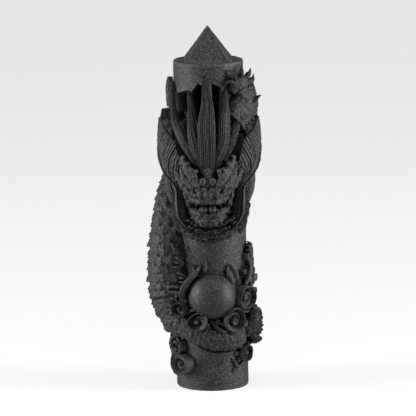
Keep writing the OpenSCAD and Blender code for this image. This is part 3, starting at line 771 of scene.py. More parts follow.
def mane():
    """Six flame-shaped locks that rise from the forehead, over hollows cut in the column between them."""
    lock("mane_centre", [[arc(0), 111.5, 6.0, 3.2, 1.6], [arc(-0.2), 119, 6.6, 4.1, 2.2],
                         [arc(-0.3), 127, 6.6, 4.3, 2.4], [arc(-0.3), 135.4, 5.6, 4.2, 2.3],
                         [arc(0), 144.6, 3.4, 2.8, 1.9], [arc(-0.7), 152, 1.4, 1.6, 1.3],
                         [arc(-1.2), 157, 0.1, 0.9, 0.7]], 9, 0.34)
    lock("mane_left", [[-8, 112.5, 5.4, 1.6, 1.4], [-13, 119, 6.2, 2.3, 1.8], [-18.5, 125, 5.8, 2.5, 2.0],
                       [-22.1, 131, 4.8, 2.2, 2.0], [-25.8, 138.4, 2.8, 1.5, 1.7],
                       [-30, 144.6, 1.4, 0.75, 1.1], [-34.5, 149.8, 0.3, 0.35, 0.6]], 6)
    lock("mane_right", [[6.5, 112.5, 5.2, 1.6, 1.4], [11.5, 119, 5.8, 2.5, 1.8],
                        [16.7, 125.5, 5.6, 3.0, 2.0], [20, 135, 4.2, 3.1, 2.0],
                        [24.0, 143.0, 2.2, 1.8, 1.6], [27.2, 149.6, 0.4, 0.5, 0.7]], 7)
    lock("mane_outer_left", [[-15, 113.5, 4.8, 1.5, 1.4], [-26.4, 121.4, 5.2, 2.2, 1.8],
                             [-38.6, 128, 4.6, 2.4, 1.9], [-51, 133.5, 3.6, 1.6, 1.7],
                             [-58, 139.0, 2.8, 1.3, 1.6], [-66, 146.6, 2.2, 1.0, 1.4],
                             [-74, 152.4, 1.0, 0.8, 1.0]], 6)
    lock("mane_outer_right", [[18, 116, 4.4, 1.4, 1.4], [30, 125, 4.4, 2.0, 1.8], [37, 130, 3.8, 1.8, 1.7],
                              [43.6, 134.5, 3.0, 1.6, 1.6], [50, 139.5, 1.8, 1.0, 1.3],
                              [56, 144.5, 0.4, 0.4, 0.6]], 4)
    lock("mane_spike_left", [[-74, 140.0, 0.8, 1.6, 1.4], [-79, 143.0, 1.8, 3.2, 1.9],
                             [-82, 146.5, 1.8, 3.3, 1.9], [-85, 151.0, 1.8, 2.6, 1.8],
                             [-87, 155.0, 1.5, 1.5, 1.2]], 5)


def sheet(root, rim, thick, bow, count, across, shape=None, lip=0.0):
    """A bent sheet between a root line and a rim line, rows of [angle, height, out].

    shape(i, t, p) is how far each face is raised; lip thickens the rim."""
    a, b = smooth_rows(root, count), smooth_rows(rim, count)
    t = np.linspace(0, 1, across)
    rows = a[:, None] * (1 - t)[None, :, None] + b[:, None] * t[None, :, None]
    rows[..., 2] += bow * np.sin(np.pi * t)[None]
    middle = place(rows[..., 0], skin(rows[..., 1]) + rows[..., 2], rows[..., 1])
    u = np.gradient(middle, axis=0)
    v = np.gradient(middle, axis=1)
    normal = np.cross(u, v)
    normal /= np.linalg.norm(normal, axis=-1)[..., None] + 1e-9
    if (normal * place(rows[..., 0], 1.0, 0.0)).sum() < 0:
        normal = -normal
    half = thick / 2 * np.sqrt(np.clip(1 - (np.clip(t - 0.9, 0, 1) / 0.1) ** 2 * 0.86, 0, 1))
    half = half + lip * np.exp(-((t - 0.93) / 0.035) ** 2)
    i = np.linspace(0, 1, count)[:, None]
    rise = shape(i, t[None], middle) if shape is not None else 0.0
    front = middle + normal * (half[None] + rise)[..., None]
    back = middle - normal * (half[None] + 0.6 * rise)[..., None]
    rings = np.concatenate([front, back[:, ::-1]], 1)
    ends = np.stack([rings[0].mean(0), rings[-1].mean(0)])
    return np.concatenate([rings.reshape(-1, 3), ends]), tube_faces(count, 2 * across)


def ruff(side, name):
    """The sheet of combed hair at one side of the face, which narrows to a thin fold beside the jaw."""
    def combed(i, t, p):
        phase = (i * 1.1 - t * 0.55) * 46 + 1.2 * value_noise(p, 4)
        ridge = np.abs(np.cos(phase * np.pi / 2)) ** 0.8 - 0.6
        fade = np.clip((0.62 - i) * 5, 0, 1) * np.clip((0.76 - t) * 9, 0, 1)
        deep = -np.exp(-((phase % 7 - 3.5) / 0.5) ** 2)
        inner = np.clip(i * 8, 0, 1) * np.clip((0.95 - i) * 8, 0, 1)
        gutter = -0.5 * np.exp(-((t - 0.845) / 0.05) ** 4) * inner
        return (0.50 * ridge + 0.55 * deep) * fade + gutter + grit(p, 1.2, 0.15)

    parts = Parts()
    root = flip(side, [[50, 125, 4.6], [45, 120, 4.4], [41, 114.5, 3.8], [38, 109.5, 2.4], [36, 105.5, 0.6],
                       [34.5, 101.5, -1.2], [33, 96, -1.4], [30, 90, -1.2], [26, 84, -0.6], [19, 80, 0.2]])
    rim = flip(side, [[77, 136.0, 6.8], [85, 127.5, 7.0], [81, 119, 7.6], [70, 111.5, 7.6], [55, 106, 7.0],
                      [44, 101.5, 7.6], [41, 95.5, 8.8], [39.5, 89, 8.4], [33.5, 84, 6.6], [21, 78.4, 2.8]])
    parts.add(*sheet(root, rim, 1.3, 1.2, 270, 96, combed, 0.70))
    parts.build(name + "_combed", "ink_hair", [name])


def ruff_lobe(side, name):
    """A tuft of the ruff that shows behind its narrow part, and strands that sweep down from it."""
    def combed(s, g, w, q, p):
        ridge = np.abs(np.cos(np.cos(g) * 4.5 * np.pi + 0.4)) - 0.6
        return 0.75 * ridge * np.clip(w / 2, 0.2, 1) + grit(p, 1.2, 0.15)

    parts = Parts()
    parts.add(*sweep(flip(side, [[64, 114, 1.2, 1.6, 1.4], [70, 107.5, 2.4, 4.8, 3.0],
                                 [69, 100.5, 2.2, 4.8, 3.0], [62, 94, 1.4, 3.0, 2.2],
                                 [56, 90, 0.6, 0.8, 1.0]]), 130, 90, combed, 0.9))
    for k in range(5):
        a = side * (44 + 4.0 * k)
        rows = [[a + side * 3, 97 - 1.0 * k, 3.8], [a + side * 1, 91.5 - 1.2 * k, 4.6 - 0.7 * k],
                [a - side * 4, 86.5 - 1.2 * k, 4.0 - 0.5 * k], [a - side * 12, 82.4 - 1.0 * k, 1.8]]
        parts.add(*horn(on_column(rows), [0.5, 1.1, 1.1, 0.3], [1.4, 2.0, 1.8, 0.6], outward(a), 46, 20, 1,
                        0.3, 0.25))
    parts.build(name + "_combed", "ink_hair", [name])


def ear(side, name):
    """The ear's hollow back, seen over the ruff's upper edge, and the rough hide above it."""
    slim = 0.9 if side > 0 else 0.0

    def veins(i, t, p):
        return 0.25 * (np.abs(np.cos(i * 7 * np.pi)) - 0.5) + grit(p, 1.4, 0.22)

    def cup_painted_shade(points):
        """Painted shade in the ear's hollow."""
        return (0.8 * np.clip((23.0 - np.abs(points[:, 0])) / 0.8, 0, 1)
                * np.clip((141.0 - points[:, 2]) / 1.5, 0, 1))

    parts = Parts()
    root = flip(side, [[84, 112, 0.2], [85, 119, 0.0], [86, 126, 0.0], [86, 132, 0.1], [82, 140.0, 0.4]])
    rim = flip(side, [[94, 113, 4.6 - slim], [97, 120, 5.6 - slim], [97, 127, 5.8 - slim],
                      [94, 133.5, 6.4 - slim], [88, 138.6, 6.0 - slim]])
    parts.add(*sheet(root, rim, 1.6, -0.4, 120, 46, veins, 0.35))
    rough = {1: ((70, 143.0, 2.4, 3.2), (79, 147.6, 2.4, 2.8), (83, 141.6, 2.6, 3.2), (62, 140.6, 1.6, 4.2),
                 (86, 138.0, 2.0, 4.2), (72, 150.6, 1.9, 2.6)),
             -1: ((84, 142.0, 1.7, 3.0), (86, 149.0, 1.6, 2.6), (78, 152.0, 1.2, 2.2))}
    for a, z, radius, out in rough[side]:
        parts.add(*scroll(side * a, z, radius, out, 1.2, side, 1.0, 0.8, 18, 40))
    parts.build(name + "_cupped", "ink_hair", [name], painted_shade=cup_painted_shade)


def beard():
    """Rows of small curls under the chin, over a low band of hair that sweeps to both sides."""
    def combed(s, g, w, q, p):
        return 0.4 * (np.abs(np.cos(s * 0.9)) - 0.6) + grit(p, 1.3, 0.3)

    parts = Parts()
    half = [[62, 93, 0.4, 1.0, 1.0], [50, 87, 1.0, 3.0, 2.4], [34, 82.4, 1.2, 4.2, 3.0],
            [16, 81.0, 2.0, 5.0, 3.4], [0, 80.8, 2.0, 5.0, 3.4]]
    band = [[FACE_A - a, *rest] for a, *rest in half] + [[FACE_A + a, *rest] for a, *rest in half[-2::-1]]
    parts.add(*sweep(band, 300, 60, combed, 0.9))
    random = np.random.default_rng(5)
    for z0, out, first, size in ((84.6, 6.9, 5, 1.2), (81.4, 5.6, 7, 1.3), (78.9, 4.8, 9, 1.35),
                                 (76.5, 3.2, 8, 1.2)):
        for k in range(-first, first + 1):
            jog = random.uniform(-1, 1, 5)
            a0 = FACE_A + (k + 0.5 * (first % 2)) * 5.4 + 1.5 * jog[0]
            z = z0 + 0.0034 * (a0 - FACE_A) ** 2 + 0.45 * jog[1]
            wide = size * (1.0 + 0.30 * jog[2])
            tilt = 0.8 * jog[3]
            rise = out + 0.3 * jog[4]
            long = 3.4 + 1.2 * jog[2]
            rows = [[a0 - long, z - 0.3 - tilt, rise - 1.3], [a0 - long * 0.3, z - 0.1, rise + 0.1],
                    [a0 + long * 0.4, z + 0.1, rise + 0.1], [a0 + long, z + 0.3 + tilt, rise - 1.3]]
            parts.add(*horn(on_column(rows), [0.3, size * 0.75, size * 0.75, 0.3], [0.5, wide, wide, 0.4],
                            outward(a0), 16, 14, 0, 0, 0.35))
    parts.build("beard_curls_combed", "ink_hair", ["beard_curls"])


# ---------------------------------------------------------------- solids from smooth fields

def head_block(low, high, step=0.24):
    """Points of a block in the head's frame, where it starts and its step.

    The head's frame is x to the right of the face, d out from the column's axis, z up."""
    axes = [np.arange(l, h + step, step, dtype=np.float32) for l, h in zip(low, high)]
    return np.stack(np.meshgrid(*axes, indexing="ij"), -1), np.asarray(low, float), step


def in_head(rows):
    """Points in space from places in the head's frame."""
    a = math.radians(FACE_A)
    x, d, z = np.asarray(rows, float).T
    return np.stack([x * math.cos(a) + d * math.sin(a), x * math.sin(a) - d * math.cos(a), z], 1)


def melt(a, b, k):
    """Union of two fields with a rounded joint of size k."""
    h = np.clip(0.5 + 0.5 * (b - a) / k, 0, 1)
    return b + (a - b) * h - k * h * (1 - h)


def carve(a, b, k):
    """Field a with field b taken away, the edge rounded to size k."""
    return -melt(-a, b, k)


def ball(p, c, r):
    """A ball: the distance to its surface, negative inside, as in every field here."""
    return np.linalg.norm(p - np.asarray(c, np.float32), axis=-1) - r


def egg(p, c, r):
    """An ellipsoid, near enough a distance close to its surface."""
    q = (p - np.asarray(c, np.float32)) / np.asarray(r, np.float32)
    k = np.linalg.norm(q, axis=-1)
    return k * (k - 1) / (np.linalg.norm(q / np.asarray(r, np.float32), axis=-1) + 1e-6)


def rod(p, a, b, ra, rb):
    """A bar with round ends whose radius goes from ra to rb."""
    a, b = np.asarray(a, np.float32), np.asarray(b, np.float32)
    d = b - a
    t = np.clip(((p - a) @ d) / (d @ d), 0, 1)
    return np.linalg.norm(p - (a + t[..., None] * d), axis=-1) - (ra + (rb - ra) * t)


def chain(p, track, radii, k=0.6):
    """Rods end to end."""
    field = None
    for i in range(len(track) - 1):
        one = rod(p, track[i], track[i + 1], radii[i], radii[i + 1])
        field = one if field is None else melt(field, one, k)
    return field


def bumps(p, field, table, k=0.45):
    """Adds small balls to a field: rows of (x, d, z, radius)."""
    for x, d, z, r in table:
        field = melt(field, ball(p, (x, d, z), r), k)
    return field


def mirrored(p):
    """The same block with both sides folded onto +x."""
    q = p.copy()
    q[..., 0] = np.abs(q[..., 0])
    return q


def skin_field(name, field, block, ink, nodes, lumps):
    """Meshes a field worked out in the head's frame, with lumps mm of roughness, as a piece."""
    points, low, step = block
    field = field + lumps * (fractal(points, 1.7, 3) + 0.9 * value_noise(points, 0.95, 2))
    volume = vdb.FloatGrid(2.0)
    volume.copyFromArray(np.ascontiguousarray(np.clip(field, -2, 2).astype(np.float32)))
    vertices, quads = volume.convertToQuads(0.0)
    vertices = vertices * step + low
    return build(name, in_head(vertices), quads[:, ::-1].tolist(), ink, nodes)


# ---------------------------------------------------------------- the face

def skull():
    """Forehead and the bony middle of the face, sunk between the brows."""
    block = head_block((-14, 10, 100), (14, 31, 125))
    p = mirrored(block[0])
    f = egg(p, (0, 16.0, 113), (9.8, 7.8, 11.0))
    f = melt(f, ball(p, (9.6, 16.0, 106.5), 4.4), 1.6)
    f = melt(f, rod(p, (0, 21.6, 115.5), (0, 24.8, 104.5), 2.8, 3.2), 1.6)
    f = melt(f, chain(p, [(13.6, 15.6, 113.0), (10.8, 20.4, 107.2), (7.8, 23.4, 103.6)], [2.4, 2.9, 2.3]),
             1.0)
    f = melt(f, rod(p, (1.0, 24.0, 111.0), (1.3, 24.8, 108.0), 0.6, 0.8), 0.4)
    f = carve(f, egg(p, (5.2, 25.4, 108.6), (1.7, 4.0, 3.0)), 0.7)
    f = bumps(p, f, [(8.4, 22.4, 105.6, 1.3), (10.0, 20.2, 108.2, 1.3), (10.8, 18.4, 111.0, 1.3)])
    skin_field("skull_carved", f, block, "ink_scale", ["skull"], 0.24)


def muzzle():
    """The snout: a round nose with its wings, bumpy cheeks and the upper lip."""
    block = head_block((-13, 11, 93.5), (13, 33, 106))
    p = mirrored(block[0])
    f = egg(p, (0, 20.6, 100.0), (8.8, 7.2, 4.8))
    f = melt(f, ball(p, (0, 27.6, 100.6), 2.5), 1.4)
    f = melt(f, ball(p, (3.5, 27.0, 100.6), 2.2), 0.8)
    f = carve(f, egg(p, (2.9, 29.4, 99.3), (0.9, 1.5, 0.7)), 0.35)
    f = melt(f, chain(p, [(0, 27.6, 96.9), (3.8, 26.8, 96.8), (7.4, 23.6, 97.4), (9.8, 19.4, 99.2)],
                      [1.25, 1.5, 1.6, 1.3]), 0.6)
    f = bumps(p, f, [(5.8, 25.8, 99.0, 1.2), (7.4, 24.0, 100.6, 1.3), (8.8, 22.0, 102.2, 1.3),
                     (1.8, 28.4, 103.0, 1.1), (5.2, 26.2, 102.6, 1.2), (0.0, 28.6, 98.6, 0.9),
                     (9.6, 20.4, 100.4, 1.2), (7.0, 24.8, 103.6, 1.1)])
    f = carve(f, egg(p, (0, 23.0, 94.0), (9.4, 7.4, 1.7)), 0.6)
    skin_field("muzzle_carved", f, block, "ink_scale", ["muzzle"], 0.20)


def lower_jaw():
    """The lower jaw with its lip, a broad chin and small curls."""
    block = head_block((-12, 11, 79.5), (12, 31, 96))
    p = mirrored(block[0])
    f = egg(p, (0, 18.6, 87.8), (9.0, 7.2, 5.4))
    f = melt(f, egg(p, (0, 21.6, 85.6), (7.4, 4.4, 2.8)), 1.0)
    f = melt(f, chain(p, [(0, 25.6, 90.0), (3.8, 24.8, 90.2), (7.2, 21.6, 91.2), (9.4, 18.2, 93.0)],
                      [1.0, 1.3, 1.5, 1.3]), 0.7)
    f = bumps(p, f, [(4.6, 24.2, 89.0, 1.1), (6.8, 22.0, 89.6, 1.2), (8.6, 19.6, 90.4, 1.2),
                     (8.4, 19.0, 87.0, 1.2), (2.2, 26.2, 87.2, 0.9), (3.6, 25.2, 85.2, 0.9),
                     (5.6, 23.8, 86.6, 0.9), (6.8, 21.8, 84.6, 1.0)])
    f = carve(f, egg(p, (0, 20.0, 93.6), (7.0, 6.2, 1.9)), 0.6)
    skin_field("lower_jaw_carved", f, block, "ink_scale", ["lower_jaw"], 0.26)


def brow(side, name):
    """A thick, curly ridge that runs from the temple down to the snout."""
    block = head_block((1 if side > 0 else -17, 15, 100.5), (17 if side > 0 else -1, 31, 120))
    p = mirrored(block[0])
    f = chain(p, [(3.8, 27.0, 103.4), (6.0, 26.4, 106.0), (8.0, 24.6, 109.4), (10.4, 21.8, 113.0),
                  (12.6, 18.6, 117.0)], [1.3, 1.9, 2.3, 2.2, 1.2])
    f = bumps(p, f, [(6.4, 26.4, 109.4, 1.35), (8.0, 25.2, 112.0, 1.4), (10.0, 23.0, 115.0, 1.3),
                     (12.0, 20.4, 117.6, 1.1), (8.0, 26.2, 107.2, 1.2), (9.8, 24.2, 110.4, 1.2),
                     (11.6, 21.6, 113.4, 1.2), (5.0, 27.8, 105.6, 1.0), (5.6, 26.0, 111.8, 1.1),
                     (12.8, 19.0, 114.6, 1.1)])
    skin_field(name + "_carved", f, block, "ink_scale", [name], 0.22)


def eye(side, name):
    """A round, bulging eye close to the nose, with a thin lid."""
    block = head_block((0.2 if side > 0 else -6, 22, 102), (6 if side > 0 else -0.2, 31, 110), 0.18)
    p = mirrored(block[0])
    f = ball(p, (2.5, 26.7, 105.9), 1.95)
    f = melt(f, chain(p, [(0.9, 26.4, 107.4), (2.6, 27.4, 108.0), (4.4, 26.4, 107.2)], [0.5, 0.6, 0.5]), 0.3)
    skin_field(name + "_carved", f, block, "ink_polished", [name], 0.07)


def cheek(side, name):
    """Curls of hair on the cheek, and the ridge that runs from the temple to the nose."""
    block = head_block((2 if side > 0 else -18.5, 11, 88), (18.5 if side > 0 else -2, 30.5, 114))
    p = mirrored(block[0])
    f = chain(p, [(11.2, 17.6, 102.0), (10.4, 19.4, 99.4), (9.4, 19.2, 95.6), (8.6, 17.8, 90.6)],
              [1.4, 2.0, 2.0, 1.0])
    f = melt(f, chain(p, [(16.0, 14.2, 110.8), (14.4, 17.6, 107.2), (12.2, 20.6, 103.6), (9.2, 23.6, 101.0),
                          (6.0, 26.2, 99.8)], [1.1, 1.6, 1.8, 1.6, 1.2]), 0.5)
    f = bumps(p, f, [(16.2, 15.6, 109.6, 1.0), (15.0, 17.6, 108.8, 1.2), (15.4, 17.2, 106.4, 0.9),
                     (13.4, 19.8, 105.6, 1.25), (12.6, 21.6, 103.4, 0.9), (10.8, 22.8, 103.4, 1.1),
                     (9.6, 24.4, 101.0, 1.0), (7.6, 25.6, 101.4, 0.9), (6.6, 26.8, 99.4, 0.8),
                     (11.2, 21.4, 100.8, 1.1), (10.8, 20.2, 97.8, 1.2), (9.6, 21.2, 96.0, 0.9),
                     (10.4, 19.6, 94.2, 1.1), (9.2, 20.4, 92.4, 0.9), (9.6, 18.6, 90.6, 1.0)], 0.35)
    skin_field(name + "_carved", f, block, "ink_hair", [name], 0.26)


def mouth():
    """Tongue and teeth."""
    front = outward(FACE_A)
    parts = Parts()
    for x in (-2.1, 1.9):
        parts.add(*horn(in_head([(x * 0.6, 19, 92.0), (x * 0.8, 23, 93.0), (x, 26.2, 92.9),
                                 (x * 1.1, 27.8, 91.6)]), [1.8, 2.0, 2.1, 1.2], [1.3, 1.5, 1.9, 1.0],
                        (0, 0, 1), 44, 26, 0, 0, 0.12))
    parts.build("tongue_carved", "ink_polished", ["tongue"])
    parts = Parts()
    for x, d, h, r in ((1.4, 27.3, 1.0, 0.75), (3.6, 26.5, 1.0, 0.7), (5.9, 24.8, 2.4, 0.95),
                       (7.8, 22.2, 1.4, 0.8)):
        for side in (-1, 1):
            parts.add(*horn(in_head([(side * x, d, 97.2), (side * x, d + 0.3, 96.6 - h * 0.6),
                                     (side * (x - 0.2), d, 96.2 - h)]), [r, r * 0.75, 0.15],
                            [r, r * 0.7, 0.15], front, 16, 16))
    parts.build("upper_teeth_carved", "ink_polished", ["upper_teeth"])
    parts = Parts()
    for x, d, h, r in ((4.3, 24.4, 1.8, 1.0), (6.0, 22.6, 1.6, 0.9), (7.4, 20.4, 1.4, 0.8)):
        for side in (-1, 1):
            parts.add(*horn(in_head([(side * x, d, 90.6), (side * x, d + 0.4, 91.4 + h * 0.5),
                                     (side * (x - 0.1), d + 0.2, 91.6 + h)]), [r, r * 0.85, r * 0.3],
                            [r, r * 0.8, r * 0.3], front, 16, 16))
    parts.build("lower_teeth_carved", "ink_polished", ["lower_teeth"])


# ---------------------------------------------------------------- legs

def hide_bumps(amount, pitch):
    """Rough scales for a leg."""
    def shape(s, g, w, q, p):
        scales = amount * scale_height(s / pitch, g / (2 * np.pi) * 8)
        return scales + 0.3 * value_noise(p, 3.4, 2) + grit(p, 1.4, 0.26)

    return shape


def limb(rows, count, sides, amount, pitch=3.0):
    """A new piece that starts with a swept limb under rough scales."""
    parts = Parts()
    parts.add(*sweep(rows, count, sides, hide_bumps(amount, pitch)))
    return parts


def claw(parts, rows, radius=1.1):
    """One toe with its curved nail, through rows of [angle, height, distance out]."""
    a = np.mean([r[0] for r in rows])
    size = np.interp(np.linspace(0, 1, 6), [0, 0.45, 0.6, 1], [1, 1.05, 0.7, 0.08]) * radius
    parts.add(*horn(on_column(rows), size, size, outward(a), 34, 18))


def foot(parts, a, z, out, heading, toes, spread, length, radius=1.1):
    """Toes that fan out from a palm; heading is degrees from +angle towards up."""
    step = 180 / math.pi / (FACE_R + out)
    for k in range(toes):
        turn = math.radians(heading + spread * (k / (toes - 1) - 0.5))
        c, s = math.cos(turn), math.sin(turn)
        rows = [[a, z, out - 0.4], [a + c * length * 0.4 * step, z + s * length * 0.4, out + 1.5],
                [a + c * length * 0.75 * step, z + s * length * 0.75, out + 1.3],
                [a + c * length * step, z + s * length - 0.2, out - 0.2]]
        claw(parts, rows, radius)


def legs():
    """Two front legs and a hind leg, each with its foot."""
    parts = limb([[66, 133, 1.0, 1.6, 1.6], [63, 139, 2.2, 3.0, 2.6], [58, 145, 2.6, 3.4, 3.0],
                  [51, 150.4, 2.2, 3.0, 2.6]], 110, 60, 0.8)
    for a, z, radius, out in ((70, 148, 2.2, 4.6), (76, 142, 2.4, 5.0), (62, 151, 1.8, 4.4),
                              (50, 144, 1.6, 3.6), (82, 150, 2.2, 4.6), (88, 144, 2.2, 4.8)):
        parts.add(*scroll(a, z, radius, out, 1.2, 1, 1.0, 0.7, 18, 40))
    parts.build("forearm_scaled", "ink_scale", ["forearm"])
    parts = limb([[38, 149, 0.8, 1.6, 1.4], [46, 151.6, 2.0, 3.6, 2.4], [58, 153, 2.4, 3.6, 2.4],
                  [68, 152.6, 1.6, 1.6, 1.4]], 70, 50, 0.7, 2.4)
    for rows in ([[46, 151, 1.6], [38, 153.4, 2.6], [30, 154.2, 2.2], [24, 151.6, 0.4]],
                 [[44, 152.4, 1.8], [40, 156, 2.8], [37, 158.6, 2.2], [32, 159.8, 0.4]],
                 [[50, 153, 2.0], [51, 157, 3.4], [54, 159.4, 3.2], [58, 160.6, 1.8]],
                 [[58, 153.4, 2.4], [64, 156.4, 4.2], [70, 157.6, 4.4], [77, 159.2, 4.2]],
                 [[64, 152, 2.4], [73, 153.4, 4.6], [80, 153.8, 5.0], [88, 155.8, 5.0]],
                 [[66, 149.6, 2.4], [76, 149.4, 4.6], [84, 149.0, 5.0], [92, 150.4, 5.0]]):
        claw(parts, rows, 1.35)
    parts.build("forefoot_clawed", "ink_scale", ["forefoot"])
    parts = limb([[152, 117, 1, 2.4, 2.2], [140, 110, 2.0, 3.8, 3.2], [128, 102, 2.0, 3.2, 3],
                  [131, 93.6, 1.6, 2.2, 2.2]], 110, 56, 0.8)
    parts.build("back_forearm_scaled", "ink_scale", ["back_forearm"])
    parts = limb([[131.5, 95, 1.4, 2, 2], [128, 89, 2.0, 3.2, 2.4], [127, 84.5, 1.2, 1.6, 1.6]], 50, 44, 0.6,
                 2.0)
    foot(parts, 128, 87, 2.2, -90, 4, 96, 6.6, 1.15)
    parts.build("back_forefoot_clawed", "ink_scale", ["back_forefoot"])
    parts = limb([[76, 42, 0.8, 2.0, 1.8], [86, 50, 0.8, 3.6, 1.9], [90, 59, 0.6, 3.6, 2.2],
                  [84, 66, 0.8, 2.4, 2.0]], 110, 56, 0.8)
    parts.build("hind_leg_scaled", "ink_scale", ["hind_leg"])
    parts = limb([[85, 65.6, 1.0, 2.2, 1.9], [78, 68.6, 1.2, 2.8, 2.1], [72, 69.8, 0.8, 1.2, 1.2]], 50, 44,
                 0.6, 2.0)
    foot(parts, 77, 68.8, 1.0, 160, 4, 110, 4.4, 1.1)
    parts.build("hind_foot_clawed", "ink_scale", ["hind_foot"])


# ---------------------------------------------------------------- clouds, tail and flame

# Each cloud's main scroll: angle, height, radius, distance out, turns, and the hand they wind by
CLOUD_SCROLLS = {
    "cloud_left": (-42, 41.6, 3.9, 7.0, 1.6, -1),
    "cloud_front_left": (-18.5, 35.8, 4.9, 5.8, 1.6, 1),
    "cloud_front_right": (30, 36.0, 6.0, 5.6, 2.3, -1),
    "cloud_right": (49, 46.4, 5.6, 6.0, 2.1, 1),
    "cloud_base_left": (-49, 13.0, 5.8, 4.2, 2.0, -1),
    "cloud_base_right": (56, 17.8, 4.0, 3.2, 2.3, 1),
    "cloud_back_upper": (176, 76, 6.4, 4.8, 2.4, 1),
    "cloud_back_lower": (188, 36, 6.8, 5.0, 2.4, -1),
}

# The ribbons that trail from each: rows of [angle, height, distance out], then width and height
CLOUD_TRAILS = {
    "cloud_left": [
        ([[-46, 45.6, 5.6], [-54, 46.8, 7], [-64, 46.2, 9], [-74, 45, 10.8], [-82, 44.4, 11.6]], 0.9, 1.0),
        ([[-43, 37.9, 4.4], [-52, 37.0, 6], [-62, 37.4, 8], [-72, 38.6, 9.4], [-80, 40, 10.4]], 0.9, 1.0),
        ([[-36, 47.6, 3.4], [-44, 49.6, 5.4], [-54, 49.8, 7.4], [-64, 49.2, 9.6], [-74, 49, 11.4]], 0.8, 0.9),
        ([[-38, 51.6, 3.4], [-46, 52.6, 5.8], [-56, 52.4, 8.0], [-66, 52, 10.2], [-75, 52.4, 11.6]], 0.7,
         0.8),
        ([[-50, 42.6, 6.6], [-58, 42.8, 8], [-66, 42.6, 9.6], [-74, 42.2, 10.6], [-82, 42, 11.4]], 0.8, 0.9)],
    "cloud_front_left": [
        ([[-22, 32.6, 3.4], [-30, 31.2, 4], [-40, 31.6, 4.6], [-50, 33.2, 4.8], [-58, 35.6, 3.6]], 1.0, 1.2),
        ([[-14, 40.4, 3.4], [-20, 41.6, 4.6], [-26, 41.4, 5], [-30, 39.8, 4.6], [-32, 37.6, 3]], 0.7, 0.9)],
    "cloud_front_right": [
        ([[24, 31.6, 3.8], [16, 30.8, 4.2], [7, 32.6, 4.2], [0, 35.4, 3.6], [-6, 37.4, 2]], 1.1, 1.2),
        ([[22, 34.6, 3.8], [15, 34.4, 4.2], [9, 36.0, 3.8], [5, 38.0, 3], [3, 39.6, 1.6]], 0.8, 1.0),
        ([[34, 31.4, 3.6], [42, 31.6, 4], [50, 33.2, 4.2], [58, 36.4, 3.8], [64, 39.6, 2.4]], 1.0, 1.1)],
    "cloud_right": [
        ([[49, 52.6, 4.2], [56, 55.4, 4.4], [62, 59, 4], [64, 63, 3.4], [60, 67, 1.6]], 1.1, 1.3),
        ([[58, 42.6, 3.8], [66, 42, 4.2], [74, 43.6, 4.2], [81, 46.6, 3.6], [86, 50, 2]], 1.1, 1.2),
        ([[36, 42.4, 2.6], [41, 40.6, 4.2], [47, 39.6, 4.8], [54, 39.4, 4.8], [62, 40.2, 3.6]], 0.8, 1.0)],
    "cloud_base_left": [
        ([[-54, 17.6, 3.4], [-62, 20.2, 4.4], [-64, 23.8, 4.8], [-59, 26.4, 4.6], [-52, 27.0, 2.8]], 1.2,
         1.4),
        ([[-58, 22.8, 4.2], [-55, 24.4, 5], [-51, 24.0, 4.8], [-50, 22.2, 4], [-53, 21.2, 3]], 0.7, 0.8),
        ([[-58, 9.6, 2.2], [-68, 9.4, 2.8], [-80, 11.6, 2.6], [-90, 15, 2], [-98, 19, 0.6]], 1.2, 1.2)],
    "cloud_base_right": [
        ([[52, 14.0, 0.8], [46, 11.4, 1.0], [40, 11.8, 1.0], [35, 14.4, 0.9], [31, 16.2, 0.2]], 0.8, 0.8),
        ([[60, 20.6, 1.6], [68, 22.8, 2], [78, 22.6, 2.2], [88, 20.6, 1.8], [96, 19, 0.6]], 1.1, 1.0)],
    "cloud_back_upper": [
        ([[184, 80.6, 2.6], [194, 83.4, 3], [206, 83, 3], [217, 80, 2.4], [224, 76, 0.8]], 1.4, 1.4),
        ([[168, 70.8, 2.6], [157, 68.6, 3], [145, 69.6, 3], [134, 72.4, 2.4], [126, 76, 0.8]], 1.4, 1.4)],
    "cloud_back_lower": [
        ([[180, 41, 2.8], [168, 44, 3.2], [154, 43.6, 3.2], [142, 41, 2.6], [132, 37.4, 0.8]], 1.5, 1.5),
        ([[198, 31, 2.8], [210, 28.4, 3.2], [224, 28, 3.2], [238, 30, 2.6], [250, 33.6, 0.8]], 1.5, 1.5)],
}

